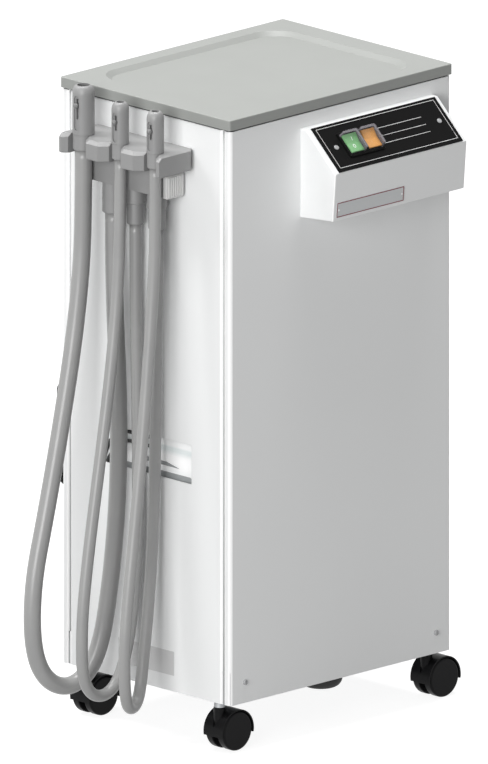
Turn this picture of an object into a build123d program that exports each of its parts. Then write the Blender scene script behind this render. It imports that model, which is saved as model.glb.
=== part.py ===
"""Floor-standing vacuum aspirator: a sheet-steel cabinet on four twin-wheel castors.

Three suction hoses loop down from a manifold on the front and back up to their handpieces,
which hang in a forked holder. A switch console sits on the right side.
Millimetres. X runs to the right along the hose side, Y to the back, Z up from the floor.
The origin is on the floor under the middle of the whole footprint.
"""
import os
from math import atan2, cos, hypot, pi, radians, tan

from build123d import *

# Cabinet
TOP_W = 300.0
TOP_D = 390.0
HEIGHT = 820.0
TOP_SKIRT = 13.3
TOP_WALL = 3.0
TOP_CORNER_R = 3.0
TOP_EDGE_R = 1.0
TOP_OVERHANG_SIDE = 1.0
TOP_OVERHANG_END = 2.0
SHADOW_GAP = 2.0
GROUND_GAP = 65.0
SHEET = 1.2
SHEET_BEND_R = 5.0
POST_W = 13.0
POST_LIP = 9.0
PANEL_GAP = 0.7
PANEL_RETURN = 12.0
SKIN_FIT = 0.4

# Tray recess in the top plate
TRAY_MARGIN_END = 34.0
TRAY_MARGIN_SIDE = 23.0
TRAY_CORNER_R = 40.0
TRAY_SLOPE = 8.0
TRAY_DEPTH = 5.0

# Window in the front panel
WINDOW_W = 161.0
WINDOW_H = 50.0
WINDOW_SILL = 338.0

# Chassis pan and frame
PAN_T = 2.0
PAN_WALL = 40.0
PAN_CORNER_R = 3.0
LEG_ANGLE = 18.0
LEG_T = 2.0
LEG_INSET = 3.0

# Panel screws
SCREW_D = 4.0
SCREW_HEAD_D = 7.0
SCREW_HEAD_T = 2.2
SCREW_LENGTH = 4.4
SCREW_INSET = 26.0
SCREW_RISE = 26.5
SLOT_W = 1.0
SLOT_DEPTH = 0.8

# Back panel
LOUVRE_W = 90.0
LOUVRE_SLOT = 5.0
LOUVRE_PITCH = 14.0
LOUVRE_ROWS = 8
LOUVRE_COLUMNS = 2
LOUVRE_GAP = 30.0
LOUVRE_SILL = 150.0
LOUVRE_OUT = 3.5
INLET_W = 47.0
INLET_H = 27.0
INLET_FLANGE = 58.0
INLET_FLANGE_T = 2.5
INLET_DEPTH = 26.0
INLET_SOCKET_W = 24.5
INLET_SOCKET_H = 16.5
INLET_SOCKET_DEPTH = 15.0
INLET_SILL = 112.0
INLET_X = -95.0

# Switch console on the right side
CONSOLE_NEAR = -70.0
CONSOLE_LENGTH = 230.0
CONSOLE_OUT = 62.0
CONSOLE_DOWN = 33.0
CONSOLE_TOP_LEDGE = 10.0
CONSOLE_SLANT_DROP = 48.0
CONSOLE_FRONT_DROP = 62.0
CONSOLE_FRONT_RAKE = 5.0
CONSOLE_BOTTOM_DROP = 5.0
CONSOLE_WALL = 2.5
CONSOLE_EDGE_R = 1.5
FASCIA_LENGTH = 216.0
FASCIA_T = 1.5
FASCIA_MARGIN = 1.0
FASCIA_SCREW_IN_NEAR = 19.0
FASCIA_SCREW_IN_FAR = 17.0
FASCIA_SCREW_D = 3.0
FASCIA_SCREW_HEAD_D = 6.5
FASCIA_SCREW_HEAD_T = 1.6
FASCIA_SCREW_LENGTH = 9.0

# Rocker switches on the fascia
BEZEL_LENGTH = 60.5
BEZEL_H = 37.0
BEZEL_T = 2.5
BEZEL_BODY_SHRINK = 3.0
BEZEL_BODY_DEPTH = 18.0
BEZEL_NEAR = 31.0
BEZEL_DOWN = 16.0
ROCKER_PITCH = 31.0
ROCKER_W = 22.0
ROCKER_H = 27.0
ROCKER_TILT = 7.0
ROCKER_RISE = 2.4
ROCKER_BOSS_R = 4.0
ROCKER_POCKET_FIT = 0.5
ROCKER_POCKET_DEPTH = 11.0
ROCKER_PIN_R = 1.5
ROCKER_PIN_FIT = 0.05
ROCKER_PIN_END = 1.2
CAP_WALL = 0.9
CAP_RISE = 8.5
CAP_TAPER = 0.6
CAP_MARGIN = 0.6

# Hose holder on the front
HOLDER_W = 177.0
HOLDER_OUT = 64.6
HOLDER_DOWN = 74.0
HOLDER_T = 25.0
HOLDER_TOP_CHAMFER = 4.5
HOLDER_BOTTOM_CHAMFER = 1.5
HOLDER_BACK_CHAMFER = 9.0
SLOT_PITCH = 62.0
LARGE_SLOT_PITCH = 65.0
SLOT_OUT = 45.0
LUG_FLARE = 10.0
END_LUG_NOSE = 4.0

# Handpieces that hang in the holder
LARGE_D = 28.0
LARGE_H = 82.5
LARGE_TIP_BORE_D = 16.0
LARGE_DOME_H = 11.5
SMALL_D = 22.0
SMALL_H = 73.0
SMALL_TIP_BORE_D = 10.0
SMALL_DOME_H = 11.0
HANDPIECE_SEAT = 5.5
SHOULDER_STEP = 0.5
SHOULDER_OVER = 0.3
TIP_BORE_DEPTH = 30.0
TIP_SEAT = 1.0
TIP_LIP = 0.4
SLOT_FIT = 0.15
VALVE_POCKET_W = 8.0
VALVE_POCKET_TOP = 12.0
LARGE_POCKET_LENGTH = 44.5
SMALL_POCKET_LENGTH = 38.0
VALVE_POCKET_FLOOR = 2.2
VALVE_SLOT_W = 3.2
VALVE_SLOT_SPARE = 0.5
VALVE_SLOT_DEPTH = 4.6
VALVE_TURN = 5.0
VALVE_KNOB_D = 7.5
VALVE_KNOB_SINK = 1.4
VALVE_NECK_D = 3.0
VALVE_KNOB_DOWN = 24.5
VALVE_FIT = 0.1
VALVE_TRAVEL_UP = 6.5
LARGE_VALVE_TRAVEL_DOWN = 16.0
SMALL_VALVE_TRAVEL_DOWN = 9.0
VALVE_FOOT = 2.9

# Suction manifold, hose cuffs and filter
MANIFOLD_W = 128.0
MANIFOLD_OUT = 33.4
MANIFOLD_H = 36.0
MANIFOLD_EDGE_R = 5.0
CUFF_PITCH = 38.5
CUFF_OUT = 18.5
LARGE_CUFF_D = 29.0
LARGE_CUFF_H = 39.0
SMALL_CUFF_D = 22.0
SMALL_CUFF_H = 47.0
CUFF_COLLAR_D = 26.0
CUFF_COLLAR_H = 20.0
LARGE_HOSE_D = 22.0
SMALL_HOSE_D = 15.0
HOSE_WALL = 2.5
FILTER_BORE_D = 24.0
FILTER_FIT = 0.3
FILTER_LENGTH = 100.0
FILTER_WALL = 1.6
FILTER_SLOTS = 5
FILTER_SLOT_W = 3.0
FILTER_SLOT_LENGTH = 60.0
FILTER_CAP_T = 8.0
FILTER_CAP_D = 31.0
FILTER_CAP_H = 30.0
FILTER_CAP_DOWN = 4.0
FILTER_CAP_RIBS = 7
FILTER_RIB_OUT = 1.2
FILTER_FACE_GAP = 0.3

# Collection jar behind the window
JAR_D = 164.0
JAR_WALL = 3.0
JAR_H = 190.0
JAR_BEHIND_PANEL = 14.0
JAR_FOOT_R = 14.0
JAR_RING_PITCH = 10.5
JAR_RING_H = 4.5
JAR_RING_T = 1.5
JAR_RING_END_X = 6.0
JAR_LID_H = 26.0
JAR_LID_OVER = 2.0
JAR_SHELF_T = 2.0

# Suction turbine and silencer
TURBINE_Y = 86.0
TURBINE_D = 180.0
TURBINE_H = 48.0
MOTOR_D = 138.0
MOTOR_H = 118.0
MOTOR_FINS = 16
MOTOR_FIN_OUT = 5.0
MOTOR_FIN_T = 2.4
FOOT_D = 22.0
FOOT_H = 20.0
FOOT_RING_R = 58.0
TURBINE_PORT_D = 40.0
TURBINE_PORT_H = 22.0
PIPE_D = 28.0
PIPE_WALL = 2.5
SILENCER_X = 100.0
SILENCER_Y = 14.0
SILENCER_D = 54.0
SILENCER_DROP = 22.0
SILENCER_H = 46.0
SILENCER_FLANGE = 6.0
DRAIN_X = 104.0
DRAIN_Y = 58.0
DRAIN_D = 13.0
DRAIN_NUT_D = 22.0
DRAIN_DROP = 14.0
DRAIN_WALL = 2.0

# Bow grip on the left side
GRIP_TOP = 430.0
GRIP_LENGTH = 150.0
GRIP_OUT = 26.0
GRIP_FROM_FRONT = 26.0
GRIP_BAR = 11.0
GRIP_W = 18.0
GRIP_BEND_R = 16.0

# Castors
CASTOR_IN_SIDE = 31.0
CASTOR_IN_END = 12.0
WHEEL_D = 50.0
WHEEL_W = 11.5
WHEEL_TRAIL = 16.0
WHEEL_MID = 11.0
WHEEL_EDGE_R = 3.0
WHEEL_COVER = 2.5
AXLE_D = 6.0
AXLE_FIT = 0.05
AXLE_END = 0.5
HOOD_GAP = 0.9
HOOD_T = 1.8
HOOD_WEB = 9.5
HOOD_SKIRT = 5.0
HOOD_TOWER_D = 15.0
HOOD_NOTCH_W = 16.0
HOOD_NOTCH_H = 21.0
HOOD_TOWER_TOP = 56.5
STEM_D = 8.0
STEM_FIT = 0.05
STEM_DEPTH = 22.0
STEM_COLLAR_D = 14.0
STEM_COLLAR_GAP = 0.4
STEM_NUT_AF = 13.0
STEM_NUT_H = 6.5
STEM_END = 3.0

# Hose routes, from the cuff down round the loop and up to the handpiece: X, distance out from
# the top plate's front edge, and height of each point
HOSE_ROUTES = {
    "large": [(-38.5, 16.5, 671), (-38.5, 16.5, 610), (-36, 16, 530), (-31, 15, 430),
              (-30, 16, 330), (-34, 20, 240), (-38, 27, 170), (-42, 36, 115), (-47, 53, 80),
              (-53, 80, 66), (-59, 108, 76), (-63, 127, 104), (-65, 134, 150), (-66, 129, 215),
              (-65.5, 109, 290), (-65, 85, 390), (-65, 61, 500), (-65, 46, 600), (-65, 43, 690),
              (-65, 43, 751.5)],
    "middle": [(0, 16.5, 663), (0, 16.5, 600), (0, 16, 540), (1, 14, 440), (2, 14, 340),
               (2, 14, 260), (0, 18, 185), (0, 28, 128), (0, 43, 83), (0, 65, 64), (0, 91, 67),
               (0, 108, 90), (0, 111, 133), (0, 108, 190), (0, 96, 270), (0, 79, 365),
               (0, 61, 470), (0, 47, 580), (0, 43, 680), (0, 43, 751.5)],
    "right": [(38.5, 16.5, 663), (38.5, 16.5, 600), (38.5, 18, 530), (38.5, 19, 430),
              (38.5, 21, 330), (38.5, 26, 240), (39, 33, 175), (41, 41, 130), (43, 48, 92),
              (46.5, 57, 66), (53.5, 74, 57.5), (60.5, 91, 65.5), (64, 99, 94), (65, 100, 140),
              (65, 94, 205), (64, 80, 300), (63.5, 66, 410), (62.5, 53, 530), (62, 45, 620),
              (62, 43, 690), (62, 43, 751.5)],
}

# The strands above the upper level keep their distance from the top when the cabinet's height
# changes, the loops below the lower one stay as they are, and what lies between stretches
ROUTE_HEIGHT = 820.0
ROUTE_FREE_LOW = 150.0
ROUTE_FREE_HIGH = 600.0

# Worked out from the sizes above
BODY_W = TOP_W - 2 * TOP_OVERHANG_SIDE
BODY_D = TOP_D - 2 * TOP_OVERHANG_END
SIDE_X = BODY_W / 2
FACE_Y = -BODY_D / 2
BACK_Y = BODY_D / 2
BODY_TOP = HEIGHT - TOP_SKIRT - SHADOW_GAP
POST_IN_X = SIDE_X - POST_W
PANEL_X = POST_IN_X - PANEL_GAP
PAN_X = SIDE_X - SHEET - SKIN_FIT
PAN_Y = BACK_Y - SHEET - SKIN_FIT
PAN_TOP = GROUND_GAP + PAN_WALL
PAN_FLOOR = GROUND_GAP + PAN_T
TRAY_FLOOR = HEIGHT - TRAY_DEPTH
WHEEL_R = WHEEL_D / 2
HOOD_R = WHEEL_R + HOOD_GAP + HOOD_T
CASTOR_X = SIDE_X - CASTOR_IN_SIDE
CASTOR_Y = BACK_Y - CASTOR_IN_END
SLOT_Y = FACE_Y - SLOT_OUT
CUFF_Y = FACE_Y - CUFF_OUT
CONSOLE_TOP = HEIGHT - CONSOLE_DOWN
HOLDER_BOTTOM = HEIGHT - HOLDER_DOWN
HOLDER_TOP = HOLDER_BOTTOM + HOLDER_T
HANDPIECE_BOTTOM = HOLDER_BOTTOM + HANDPIECE_SEAT
MANIFOLD_TOP = HOLDER_BOTTOM
MANIFOLD_BOTTOM = MANIFOLD_TOP - MANIFOLD_H
JAR_Y = FACE_Y + JAR_BEHIND_PANEL + JAR_D / 2
JAR_TOP = WINDOW_SILL + WINDOW_H
JAR_BOTTOM = JAR_TOP - JAR_H
TURBINE_BOTTOM = PAN_FLOOR + FOOT_H + MOTOR_H
TURBINE_TOP = TURBINE_BOTTOM + TURBINE_H
CASTOR_PLACES = {
    "front_left": (-CASTOR_X, -CASTOR_Y),
    "front_right": (CASTOR_X, -CASTOR_Y),
    "rear_left": (-CASTOR_X, CASTOR_Y),
    "rear_right": (CASTOR_X, CASTOR_Y),
}
HOSE_PLACES = {"large": -1, "middle": 0, "right": 1}
SLOT_PLACES = {"large": -LARGE_SLOT_PITCH, "middle": 0, "right": SLOT_PITCH}

# The console's slanted face, as a plane with x along the cabinet's Y and y up the slope
SLANT_RUN = CONSOLE_OUT - CONSOLE_TOP_LEDGE
SLANT_LENGTH = hypot(SLANT_RUN, CONSOLE_SLANT_DROP)
SLANT_TOP = Vector(SIDE_X + CONSOLE_TOP_LEDGE, CONSOLE_NEAR, CONSOLE_TOP)
SLANT_NORMAL = Vector(CONSOLE_SLANT_DROP, 0, SLANT_RUN)
FASCIA_H = SLANT_LENGTH - 2 * FASCIA_MARGIN
FASCIA_IN = (CONSOLE_LENGTH - FASCIA_LENGTH) / 2
SLANT = Plane(origin=SLANT_TOP, x_dir=(0, 1, 0), z_dir=SLANT_NORMAL)
BEZEL_CENTRE_U = FASCIA_IN + BEZEL_NEAR + BEZEL_LENGTH / 2
BEZEL_CENTRE_V = -(FASCIA_MARGIN + BEZEL_DOWN + BEZEL_H / 2)
ROCKER_AXIS_H = FASCIA_T + BEZEL_T - ROCKER_BOSS_R

# The whole footprint, without the hoses, and the shift that puts its middle on the origin
REACH_LEFT = SIDE_X + GRIP_OUT
SLANT_ANGLE = atan2(SLANT_RUN, CONSOLE_SLANT_DROP)
RAKE_ANGLE = -atan2(CONSOLE_FRONT_RAKE, CONSOLE_FRONT_DROP)
CORNER_LOSS = CONSOLE_EDGE_R * (
    cos((SLANT_ANGLE + RAKE_ANGLE) / 2) / cos((SLANT_ANGLE - RAKE_ANGLE) / 2) - 1)
REACH_RIGHT = SIDE_X + CONSOLE_OUT - CORNER_LOSS
REACH_FRONT = BODY_D / 2 + HOLDER_OUT
REACH_BACK = CASTOR_Y + WHEEL_TRAIL + HOOD_R
SHIFT_X = (REACH_LEFT - REACH_RIGHT) / 2
SHIFT_Y = (REACH_FRONT - REACH_BACK) / 2


def block(x_range, y_range, z_range):
    """Box between the given limits."""
    sizes = [high - low for low, high in (x_range, y_range, z_range)]
    middles = [(high + low) / 2 for low, high in (x_range, y_range, z_range)]
    return Pos(*middles) * Box(*sizes)


def rod(radius, low, high, x=0.0, y=0.0):
    """Upright cylinder between two heights."""
    return Pos(x, y, (low + high) / 2) * Cylinder(radius, high - low)


def folded_sheet(points, low, high):
    """Sheet bent along the points, its outer side on them and its thickness to their left."""
    path = FilletPolyline(*points, radius=SHEET_BEND_R)
    face = make_face(offset(path, SHEET, side=Side.LEFT))
    return Pos(0, 0, low) * extrude(face, high - low)


def on_slant(shape, u, v, height=0.0):
    """Put a shape on the console's slanted face: u along it, v down it."""
    return SLANT * Pos(u, -v, height) * shape


def side_panel():
    """Right side panel, folded round into a post at the front and back."""
    points = [
        (POST_IN_X, FACE_Y + POST_LIP),
        (POST_IN_X, FACE_Y),
        (SIDE_X, FACE_Y),
        (SIDE_X, BACK_Y),
        (POST_IN_X, BACK_Y),
        (POST_IN_X, BACK_Y - POST_LIP),
    ]
    panel = folded_sheet(points, GROUND_GAP, BODY_TOP)
    panel -= block((0, PAN_X + SKIN_FIT / 2), (-PAN_Y - SKIN_FIT / 2, PAN_Y + SKIN_FIT / 2),
                   (0, PAN_TOP + SHADOW_GAP))
    for y in (FACE_Y + SCREW_INSET, BACK_Y - SCREW_INSET):
        panel -= Pos(SIDE_X, y, GROUND_GAP + SCREW_RISE) * Rot(0, 90, 0) * Cylinder(
            SCREW_D / 2, 4 * SHEET)
    return panel


def console_wiring_hole():
    """Hole in the right side panel behind the console."""
    middle = CONSOLE_NEAR + CONSOLE_LENGTH / 2
    z = CONSOLE_TOP - CONSOLE_SLANT_DROP
    return block((SIDE_X - 3 * SHEET, SIDE_X + SHEET), (middle - 60, middle + 60),
                 (z - 30, z + 20))


def end_panel(sign):
    """Panel between the posts: sign -1 for the front, 1 for the back."""
    points = [
        (-PANEL_X, FACE_Y + PANEL_RETURN),
        (-PANEL_X, FACE_Y),
        (PANEL_X, FACE_Y),
        (PANEL_X, FACE_Y + PANEL_RETURN),
    ]
    panel = folded_sheet(points, GROUND_GAP, BODY_TOP)
    panel -= block((-SIDE_X, SIDE_X), (FACE_Y + SHEET, 0), (0, PAN_TOP + SHADOW_GAP))
    if sign > 0:
        panel = Rot(0, 0, 180) * panel
    return panel


def front_panel():
    """Front panel with the level window and the manifold's air hole."""
    panel = end_panel(-1)
    window = block((-WINDOW_W / 2, WINDOW_W / 2), (FACE_Y - 5, FACE_Y + 5),
                   (WINDOW_SILL, WINDOW_SILL + WINDOW_H))
    air = Pos(0, FACE_Y, filter_z()) * Rot(90, 0, 0) * Cylinder(
        PIPE_D / 2 + SKIN_FIT, 10)
    return panel - window - air


def louvre_places():
    """Middle of each louvre on the back panel."""
    pitch = LOUVRE_W + LOUVRE_GAP
    first = -pitch * (LOUVRE_COLUMNS - 1) / 2
    return [(first + column * pitch, LOUVRE_SILL + row * LOUVRE_PITCH)
            for column in range(LOUVRE_COLUMNS) for row in range(LOUVRE_ROWS)]


def back_panel():
    """Back panel with pressed louvres and the mains inlet's cut-out."""
    panel = end_panel(1)
    # Each louvre is a lip that leans out over its slot and is open below
    lip_points = [(0, LOUVRE_SLOT), (LOUVRE_OUT, SHEET), (LOUVRE_OUT, 0), (LOUVRE_OUT - SHEET, 0),
                  (0, LOUVRE_SLOT - 1.6 * SHEET)]
    lip_face = make_face(Polyline(*lip_points, close=True))
    lip = extrude(Plane.YZ * lip_face, LOUVRE_W / 2, both=True)
    for x, z in louvre_places():
        slot = block((x - LOUVRE_W / 2, x + LOUVRE_W / 2), (BACK_Y - 5, BACK_Y + 5),
                     (z - LOUVRE_SLOT / 2, z + LOUVRE_SLOT / 2))
        panel -= slot
        panel += Pos(x, BACK_Y - SHEET, z + LOUVRE_SLOT / 2 - SHEET) * lip
    panel -= block((INLET_X - INLET_W / 2, INLET_X + INLET_W / 2), (BACK_Y - 5, BACK_Y + 5),
                   (INLET_SILL, INLET_SILL + INLET_H))
    return panel


def mains_inlet():
    """Moulded mains inlet set into the back panel."""
    z = INLET_SILL + INLET_H / 2
    flange = block((-INLET_FLANGE / 2, INLET_FLANGE / 2), (BACK_Y, BACK_Y + INLET_FLANGE_T),
                   (z - INLET_H / 2 - 2, z + INLET_H / 2 + 2))
    flange = chamfer(flange.edges().filter_by(Axis.Y), 6)
    half_w = INLET_W / 2 - SKIN_FIT
    half_h = INLET_H / 2 - SKIN_FIT
    body = block((-half_w, half_w), (BACK_Y - INLET_DEPTH, BACK_Y), (z - half_h, z + half_h))
    socket = block((-INLET_SOCKET_W / 2, INLET_SOCKET_W / 2),
                   (BACK_Y + INLET_FLANGE_T - INLET_SOCKET_DEPTH, BACK_Y + INLET_FLANGE_T),
                   (z - INLET_SOCKET_H / 2, z + INLET_SOCKET_H / 2))
    socket = chamfer(socket.edges().filter_by(Axis.Y).sort_by(Axis.Z)[-2:], 4)
    return Pos(INLET_X, 0, 0) * (flange + body - socket)


def tray_block(low, high, grow, corner_r, flare):
    """Rounded block as large as the tray floor plus grow, flaring out towards its top."""
    width = TOP_W - 2 * (TRAY_MARGIN_SIDE + TRAY_SLOPE) + 2 * grow
    depth = TOP_D - 2 * (TRAY_MARGIN_END + TRAY_SLOPE) + 2 * grow
    bottom = Pos(0, 0, low) * RectangleRounded(width, depth, corner_r)
    top = Pos(0, 0, high) * RectangleRounded(width + 2 * flare, depth + 2 * flare,
                                             corner_r + flare)
    return loft([bottom, top])


def top_plate():
    """Moulded top plate: a shallow tray with a skirt that covers the panels' edge."""
    plate = block((-TOP_W / 2, TOP_W / 2), (-TOP_D / 2, TOP_D / 2),
                  (HEIGHT - TOP_SKIRT, HEIGHT))
    plate = fillet(plate.edges().filter_by(Axis.Z), TOP_CORNER_R)
    plate = fillet(plate.faces().sort_by(Axis.Z)[-1].edges(), TOP_EDGE_R)
    plate -= tray_block(TRAY_FLOOR, HEIGHT, 0, TRAY_CORNER_R - TRAY_SLOPE, TRAY_SLOPE)
    under = TRAY_FLOOR - TOP_WALL
    plate -= block((-TOP_W / 2 + TOP_WALL, TOP_W / 2 - TOP_WALL),
                   (-TOP_D / 2 + TOP_WALL, TOP_D / 2 - TOP_WALL), (0, under))
    return plate


def chassis_pan():
    """Folded pan that carries everything: castor holes, screw holes and cooling slots."""
    pan = block((-PAN_X, PAN_X), (-PAN_Y, PAN_Y), (GROUND_GAP, PAN_TOP))
    pan = fillet(pan.edges().filter_by(Axis.Z), PAN_CORNER_R)
    pan -= block((-PAN_X + PAN_T, PAN_X - PAN_T), (-PAN_Y + PAN_T, PAN_Y - PAN_T),
                 (PAN_FLOOR, PAN_TOP))
    for x, y in CASTOR_PLACES.values():
        pan -= rod(STEM_D / 2 + STEM_FIT, 0, PAN_TOP, x, y)
    pan -= rod(SILENCER_D / 2 + SKIN_FIT, 0, PAN_TOP, SILENCER_X, SILENCER_Y)
    pan -= rod(DRAIN_D / 2 + SKIN_FIT, 0, PAN_TOP, DRAIN_X, DRAIN_Y)
    for row in range(-3, 4):
        y = TURBINE_Y + row * 2 * LOUVRE_SLOT
        slot = RectangleRounded(MOTOR_D / 2, LOUVRE_SLOT, LOUVRE_SLOT / 2 - 0.1)
        pan -= Pos(0, y, GROUND_GAP) * extrude(slot, PAN_T)
    for x in (-SIDE_X, SIDE_X):
        for y in (FACE_Y + SCREW_INSET, BACK_Y - SCREW_INSET):
            pan -= Pos(x, y, GROUND_GAP + SCREW_RISE) * Rot(0, 90, 0) * Cylinder(
                SCREW_D / 2, 10 * SHEET)
    return pan


def inner_frame():
    """Welded frame: four angle legs, the jar's shelf and a ring that bears the top plate."""
    ring_top = TRAY_FLOOR - TOP_WALL
    outer_x = PAN_X - LEG_INSET
    outer_y = PAN_Y - PANEL_RETURN
    frame = block((-outer_x, outer_x), (-outer_y, outer_y), (ring_top - LEG_ANGLE, ring_top))
    frame -= block((-outer_x + LEG_T, outer_x - LEG_T), (-outer_y + LEG_T, outer_y - LEG_T),
                   (ring_top - LEG_ANGLE, ring_top - LEG_T))
    frame -= block((-outer_x + LEG_ANGLE, outer_x - LEG_ANGLE),
                   (-outer_y + LEG_ANGLE, outer_y - LEG_ANGLE), (ring_top - LEG_ANGLE, ring_top))
    leg = block((-LEG_ANGLE, 0), (-LEG_ANGLE, 0), (PAN_FLOOR, ring_top))
    leg -= block((-LEG_ANGLE, -LEG_T), (-LEG_ANGLE, -LEG_T), (PAN_FLOOR, ring_top))
    for x_sign in (-1, 1):
        for y_sign in (-1, 1):
            corner = leg if x_sign > 0 else mirror(leg, Plane.YZ)
            corner = corner if y_sign > 0 else mirror(corner, Plane.XZ)
            frame += Pos(x_sign * outer_x, y_sign * outer_y, 0) * corner
    return frame + jar_shelf()


def slotted_screw(shank_d, head_d, head_t, length):
    """Pan-head screw with its head up and the underside of the head at zero."""
    head = Pos(0, 0, head_t / 2) * Cylinder(head_d / 2, head_t)
    head = fillet(head.faces().sort_by(Axis.Z)[-1].edges(), head_t * 0.45)
    screw = head + Pos(0, 0, -length / 2) * Cylinder(shank_d / 2, length)
    return screw - Pos(0, 0, head_t) * Box(head_d, SLOT_W, 2 * SLOT_DEPTH)


def panel_screws():
    """Four slotted screws that hold the side panels to the pan."""
    screw = slotted_screw(SCREW_D - 0.2, SCREW_HEAD_D, SCREW_HEAD_T, SCREW_LENGTH)
    screws = []
    for side in (-1, 1):
        for y in (FACE_Y + SCREW_INSET, BACK_Y - SCREW_INSET):
            place = Pos(side * SIDE_X, y, GROUND_GAP + SCREW_RISE) * Rot(0, side * 90, 0)
            screws.append(place * screw)
    return Compound(children=screws)


def console_outline(inset=0.0):
    """Face of the console's section in the XZ plane, drawn in from its outer lines."""
    points = [
        (0, CONSOLE_TOP),
        (CONSOLE_TOP_LEDGE, CONSOLE_TOP),
        (CONSOLE_OUT, CONSOLE_TOP - CONSOLE_SLANT_DROP),
        (CONSOLE_OUT - CONSOLE_FRONT_RAKE, CONSOLE_TOP - CONSOLE_SLANT_DROP - CONSOLE_FRONT_DROP),
        (0, CONSOLE_TOP - CONSOLE_SLANT_DROP - CONSOLE_FRONT_DROP - CONSOLE_BOTTOM_DROP),
    ]
    face = make_face(Polyline(*points, close=True))
    if inset:
        face = offset(face, -inset)
        face = face + Pos(-inset, 0) * face
    return face


def console_solid(inset):
    """The console's outer form, or its hollow when drawn in by its wall."""
    face = Plane((SIDE_X, CONSOLE_NEAR + inset, 0), x_dir=(1, 0, 0), z_dir=(0, -1, 0)) * (
        console_outline(inset))
    return extrude(face, -(CONSOLE_LENGTH - 2 * inset))


def console_shell():
    """Folded and welded console housing, open towards the cabinet."""
    shell = console_solid(0)
    outer = shell.faces().filter_by(lambda f: f.center().X > SIDE_X + 1).edges()
    edges = [e for e in outer if e.center().X > SIDE_X + 1]
    shell = fillet(edges, CONSOLE_EDGE_R)
    shell -= console_solid(CONSOLE_WALL)
    cut = Box(BEZEL_LENGTH - BEZEL_BODY_SHRINK + SKIN_FIT, BEZEL_H - BEZEL_BODY_SHRINK + SKIN_FIT,
              8 * CONSOLE_WALL)
    shell -= on_slant(cut, BEZEL_CENTRE_U, -BEZEL_CENTRE_V)
    for u in fascia_screw_places():
        shell -= on_slant(Cylinder(FASCIA_SCREW_D / 2, 8 * CONSOLE_WALL), u, SLANT_LENGTH / 2)
    return shell


def fascia_screw_places():
    """Distance along the console of the two fascia screws."""
    return (FASCIA_IN + FASCIA_SCREW_IN_NEAR,
            FASCIA_IN + FASCIA_LENGTH - FASCIA_SCREW_IN_FAR)


def fascia_plate():
    """Black plate on the slanted face, cut out for the switches."""
    plate = Box(FASCIA_LENGTH, FASCIA_H, FASCIA_T, align=(Align.MIN, Align.MAX, Align.MIN))
    plate = on_slant(plate, FASCIA_IN, FASCIA_MARGIN)
    cut = Box(BEZEL_LENGTH - BEZEL_BODY_SHRINK + SKIN_FIT, BEZEL_H - BEZEL_BODY_SHRINK + SKIN_FIT,
              8 * CONSOLE_WALL)
    plate -= on_slant(cut, BEZEL_CENTRE_U, -BEZEL_CENTRE_V)
    for u in fascia_screw_places():
        plate -= on_slant(Cylinder(FASCIA_SCREW_D / 2, 8 * CONSOLE_WALL), u, SLANT_LENGTH / 2)
    return plate


def fascia_screws():
    """The two screws through the fascia."""
    screw = slotted_screw(FASCIA_SCREW_D - 0.2, FASCIA_SCREW_HEAD_D, FASCIA_SCREW_HEAD_T,
                          FASCIA_SCREW_LENGTH)
    return Compound(children=[on_slant(Rot(0, 0, 60) * screw, u, SLANT_LENGTH / 2, FASCIA_T)
                              for u in fascia_screw_places()])


def rocker_u(index):
    """Place of a rocker along the slanted face: 0 is the near one, 1 the far one."""
    return BEZEL_CENTRE_U + (index - 0.5) * ROCKER_PITCH


def switch_bezel():
    """Double switch frame with a pocket for each rocker."""
    flange = Pos(0, 0, FASCIA_T) * Box(BEZEL_LENGTH, BEZEL_H, BEZEL_T,
                                       align=(Align.CENTER, Align.CENTER, Align.MIN))
    flange = fillet(flange.edges().filter_by(Axis.Z), 2.0)
    flange = chamfer(flange.faces().sort_by(Axis.Z)[-1].edges(), 0.8)
    body = Pos(0, 0, FASCIA_T) * Box(
        BEZEL_LENGTH - BEZEL_BODY_SHRINK, BEZEL_H - BEZEL_BODY_SHRINK, BEZEL_BODY_DEPTH,
        align=(Align.CENTER, Align.CENTER, Align.MAX))
    bezel = flange + body
    top = FASCIA_T + BEZEL_T
    for index in (0, 1):
        x = (index - 0.5) * ROCKER_PITCH
        bezel -= Pos(x, 0, top) * Box(
            ROCKER_W + 2 * ROCKER_POCKET_FIT, ROCKER_H + 2 * ROCKER_POCKET_FIT,
            ROCKER_POCKET_DEPTH, align=(Align.CENTER, Align.CENTER, Align.MAX))
        pin_hole = Cylinder(ROCKER_PIN_R, ROCKER_W + 2 * ROCKER_POCKET_FIT + 2 * ROCKER_PIN_END)
        bezel -= Pos(x, 0, ROCKER_AXIS_H) * Rot(0, 90, 0) * pin_hole
    return on_slant(bezel, BEZEL_CENTRE_U, -BEZEL_CENTRE_V)


def rocker(index):
    """Lit rocker: two faces that meet in a shallow V over its pivot pins, lower end pressed."""
    half = ROCKER_H / 2 - ROCKER_POCKET_FIT
    top = ROCKER_RISE + ROCKER_BOSS_R
    rise = half * tan(radians(ROCKER_TILT))
    outline = [(-half, top), (0, top - rise), (half, top), (half, -1.0), (ROCKER_BOSS_R, -3.0),
               (-ROCKER_BOSS_R, -3.0), (-half, -1.0)]
    face = make_face(Polyline(*outline, close=True))
    key = extrude(Plane.YZ * face, ROCKER_W / 2, both=True)
    key = fillet(key.edges().filter_by(Axis.X).sort_by(Axis.Z)[-2:], 1.2)
    pin = Rot(0, 90, 0) * Cylinder(ROCKER_PIN_R - ROCKER_PIN_FIT,
                                   ROCKER_W + 2 * ROCKER_POCKET_FIT + ROCKER_PIN_END)
    key = Rot(ROCKER_TILT, 0, 0) * (key + pin)
    return on_slant(key, rocker_u(index), -BEZEL_CENTRE_V, ROCKER_AXIS_H)


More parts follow.
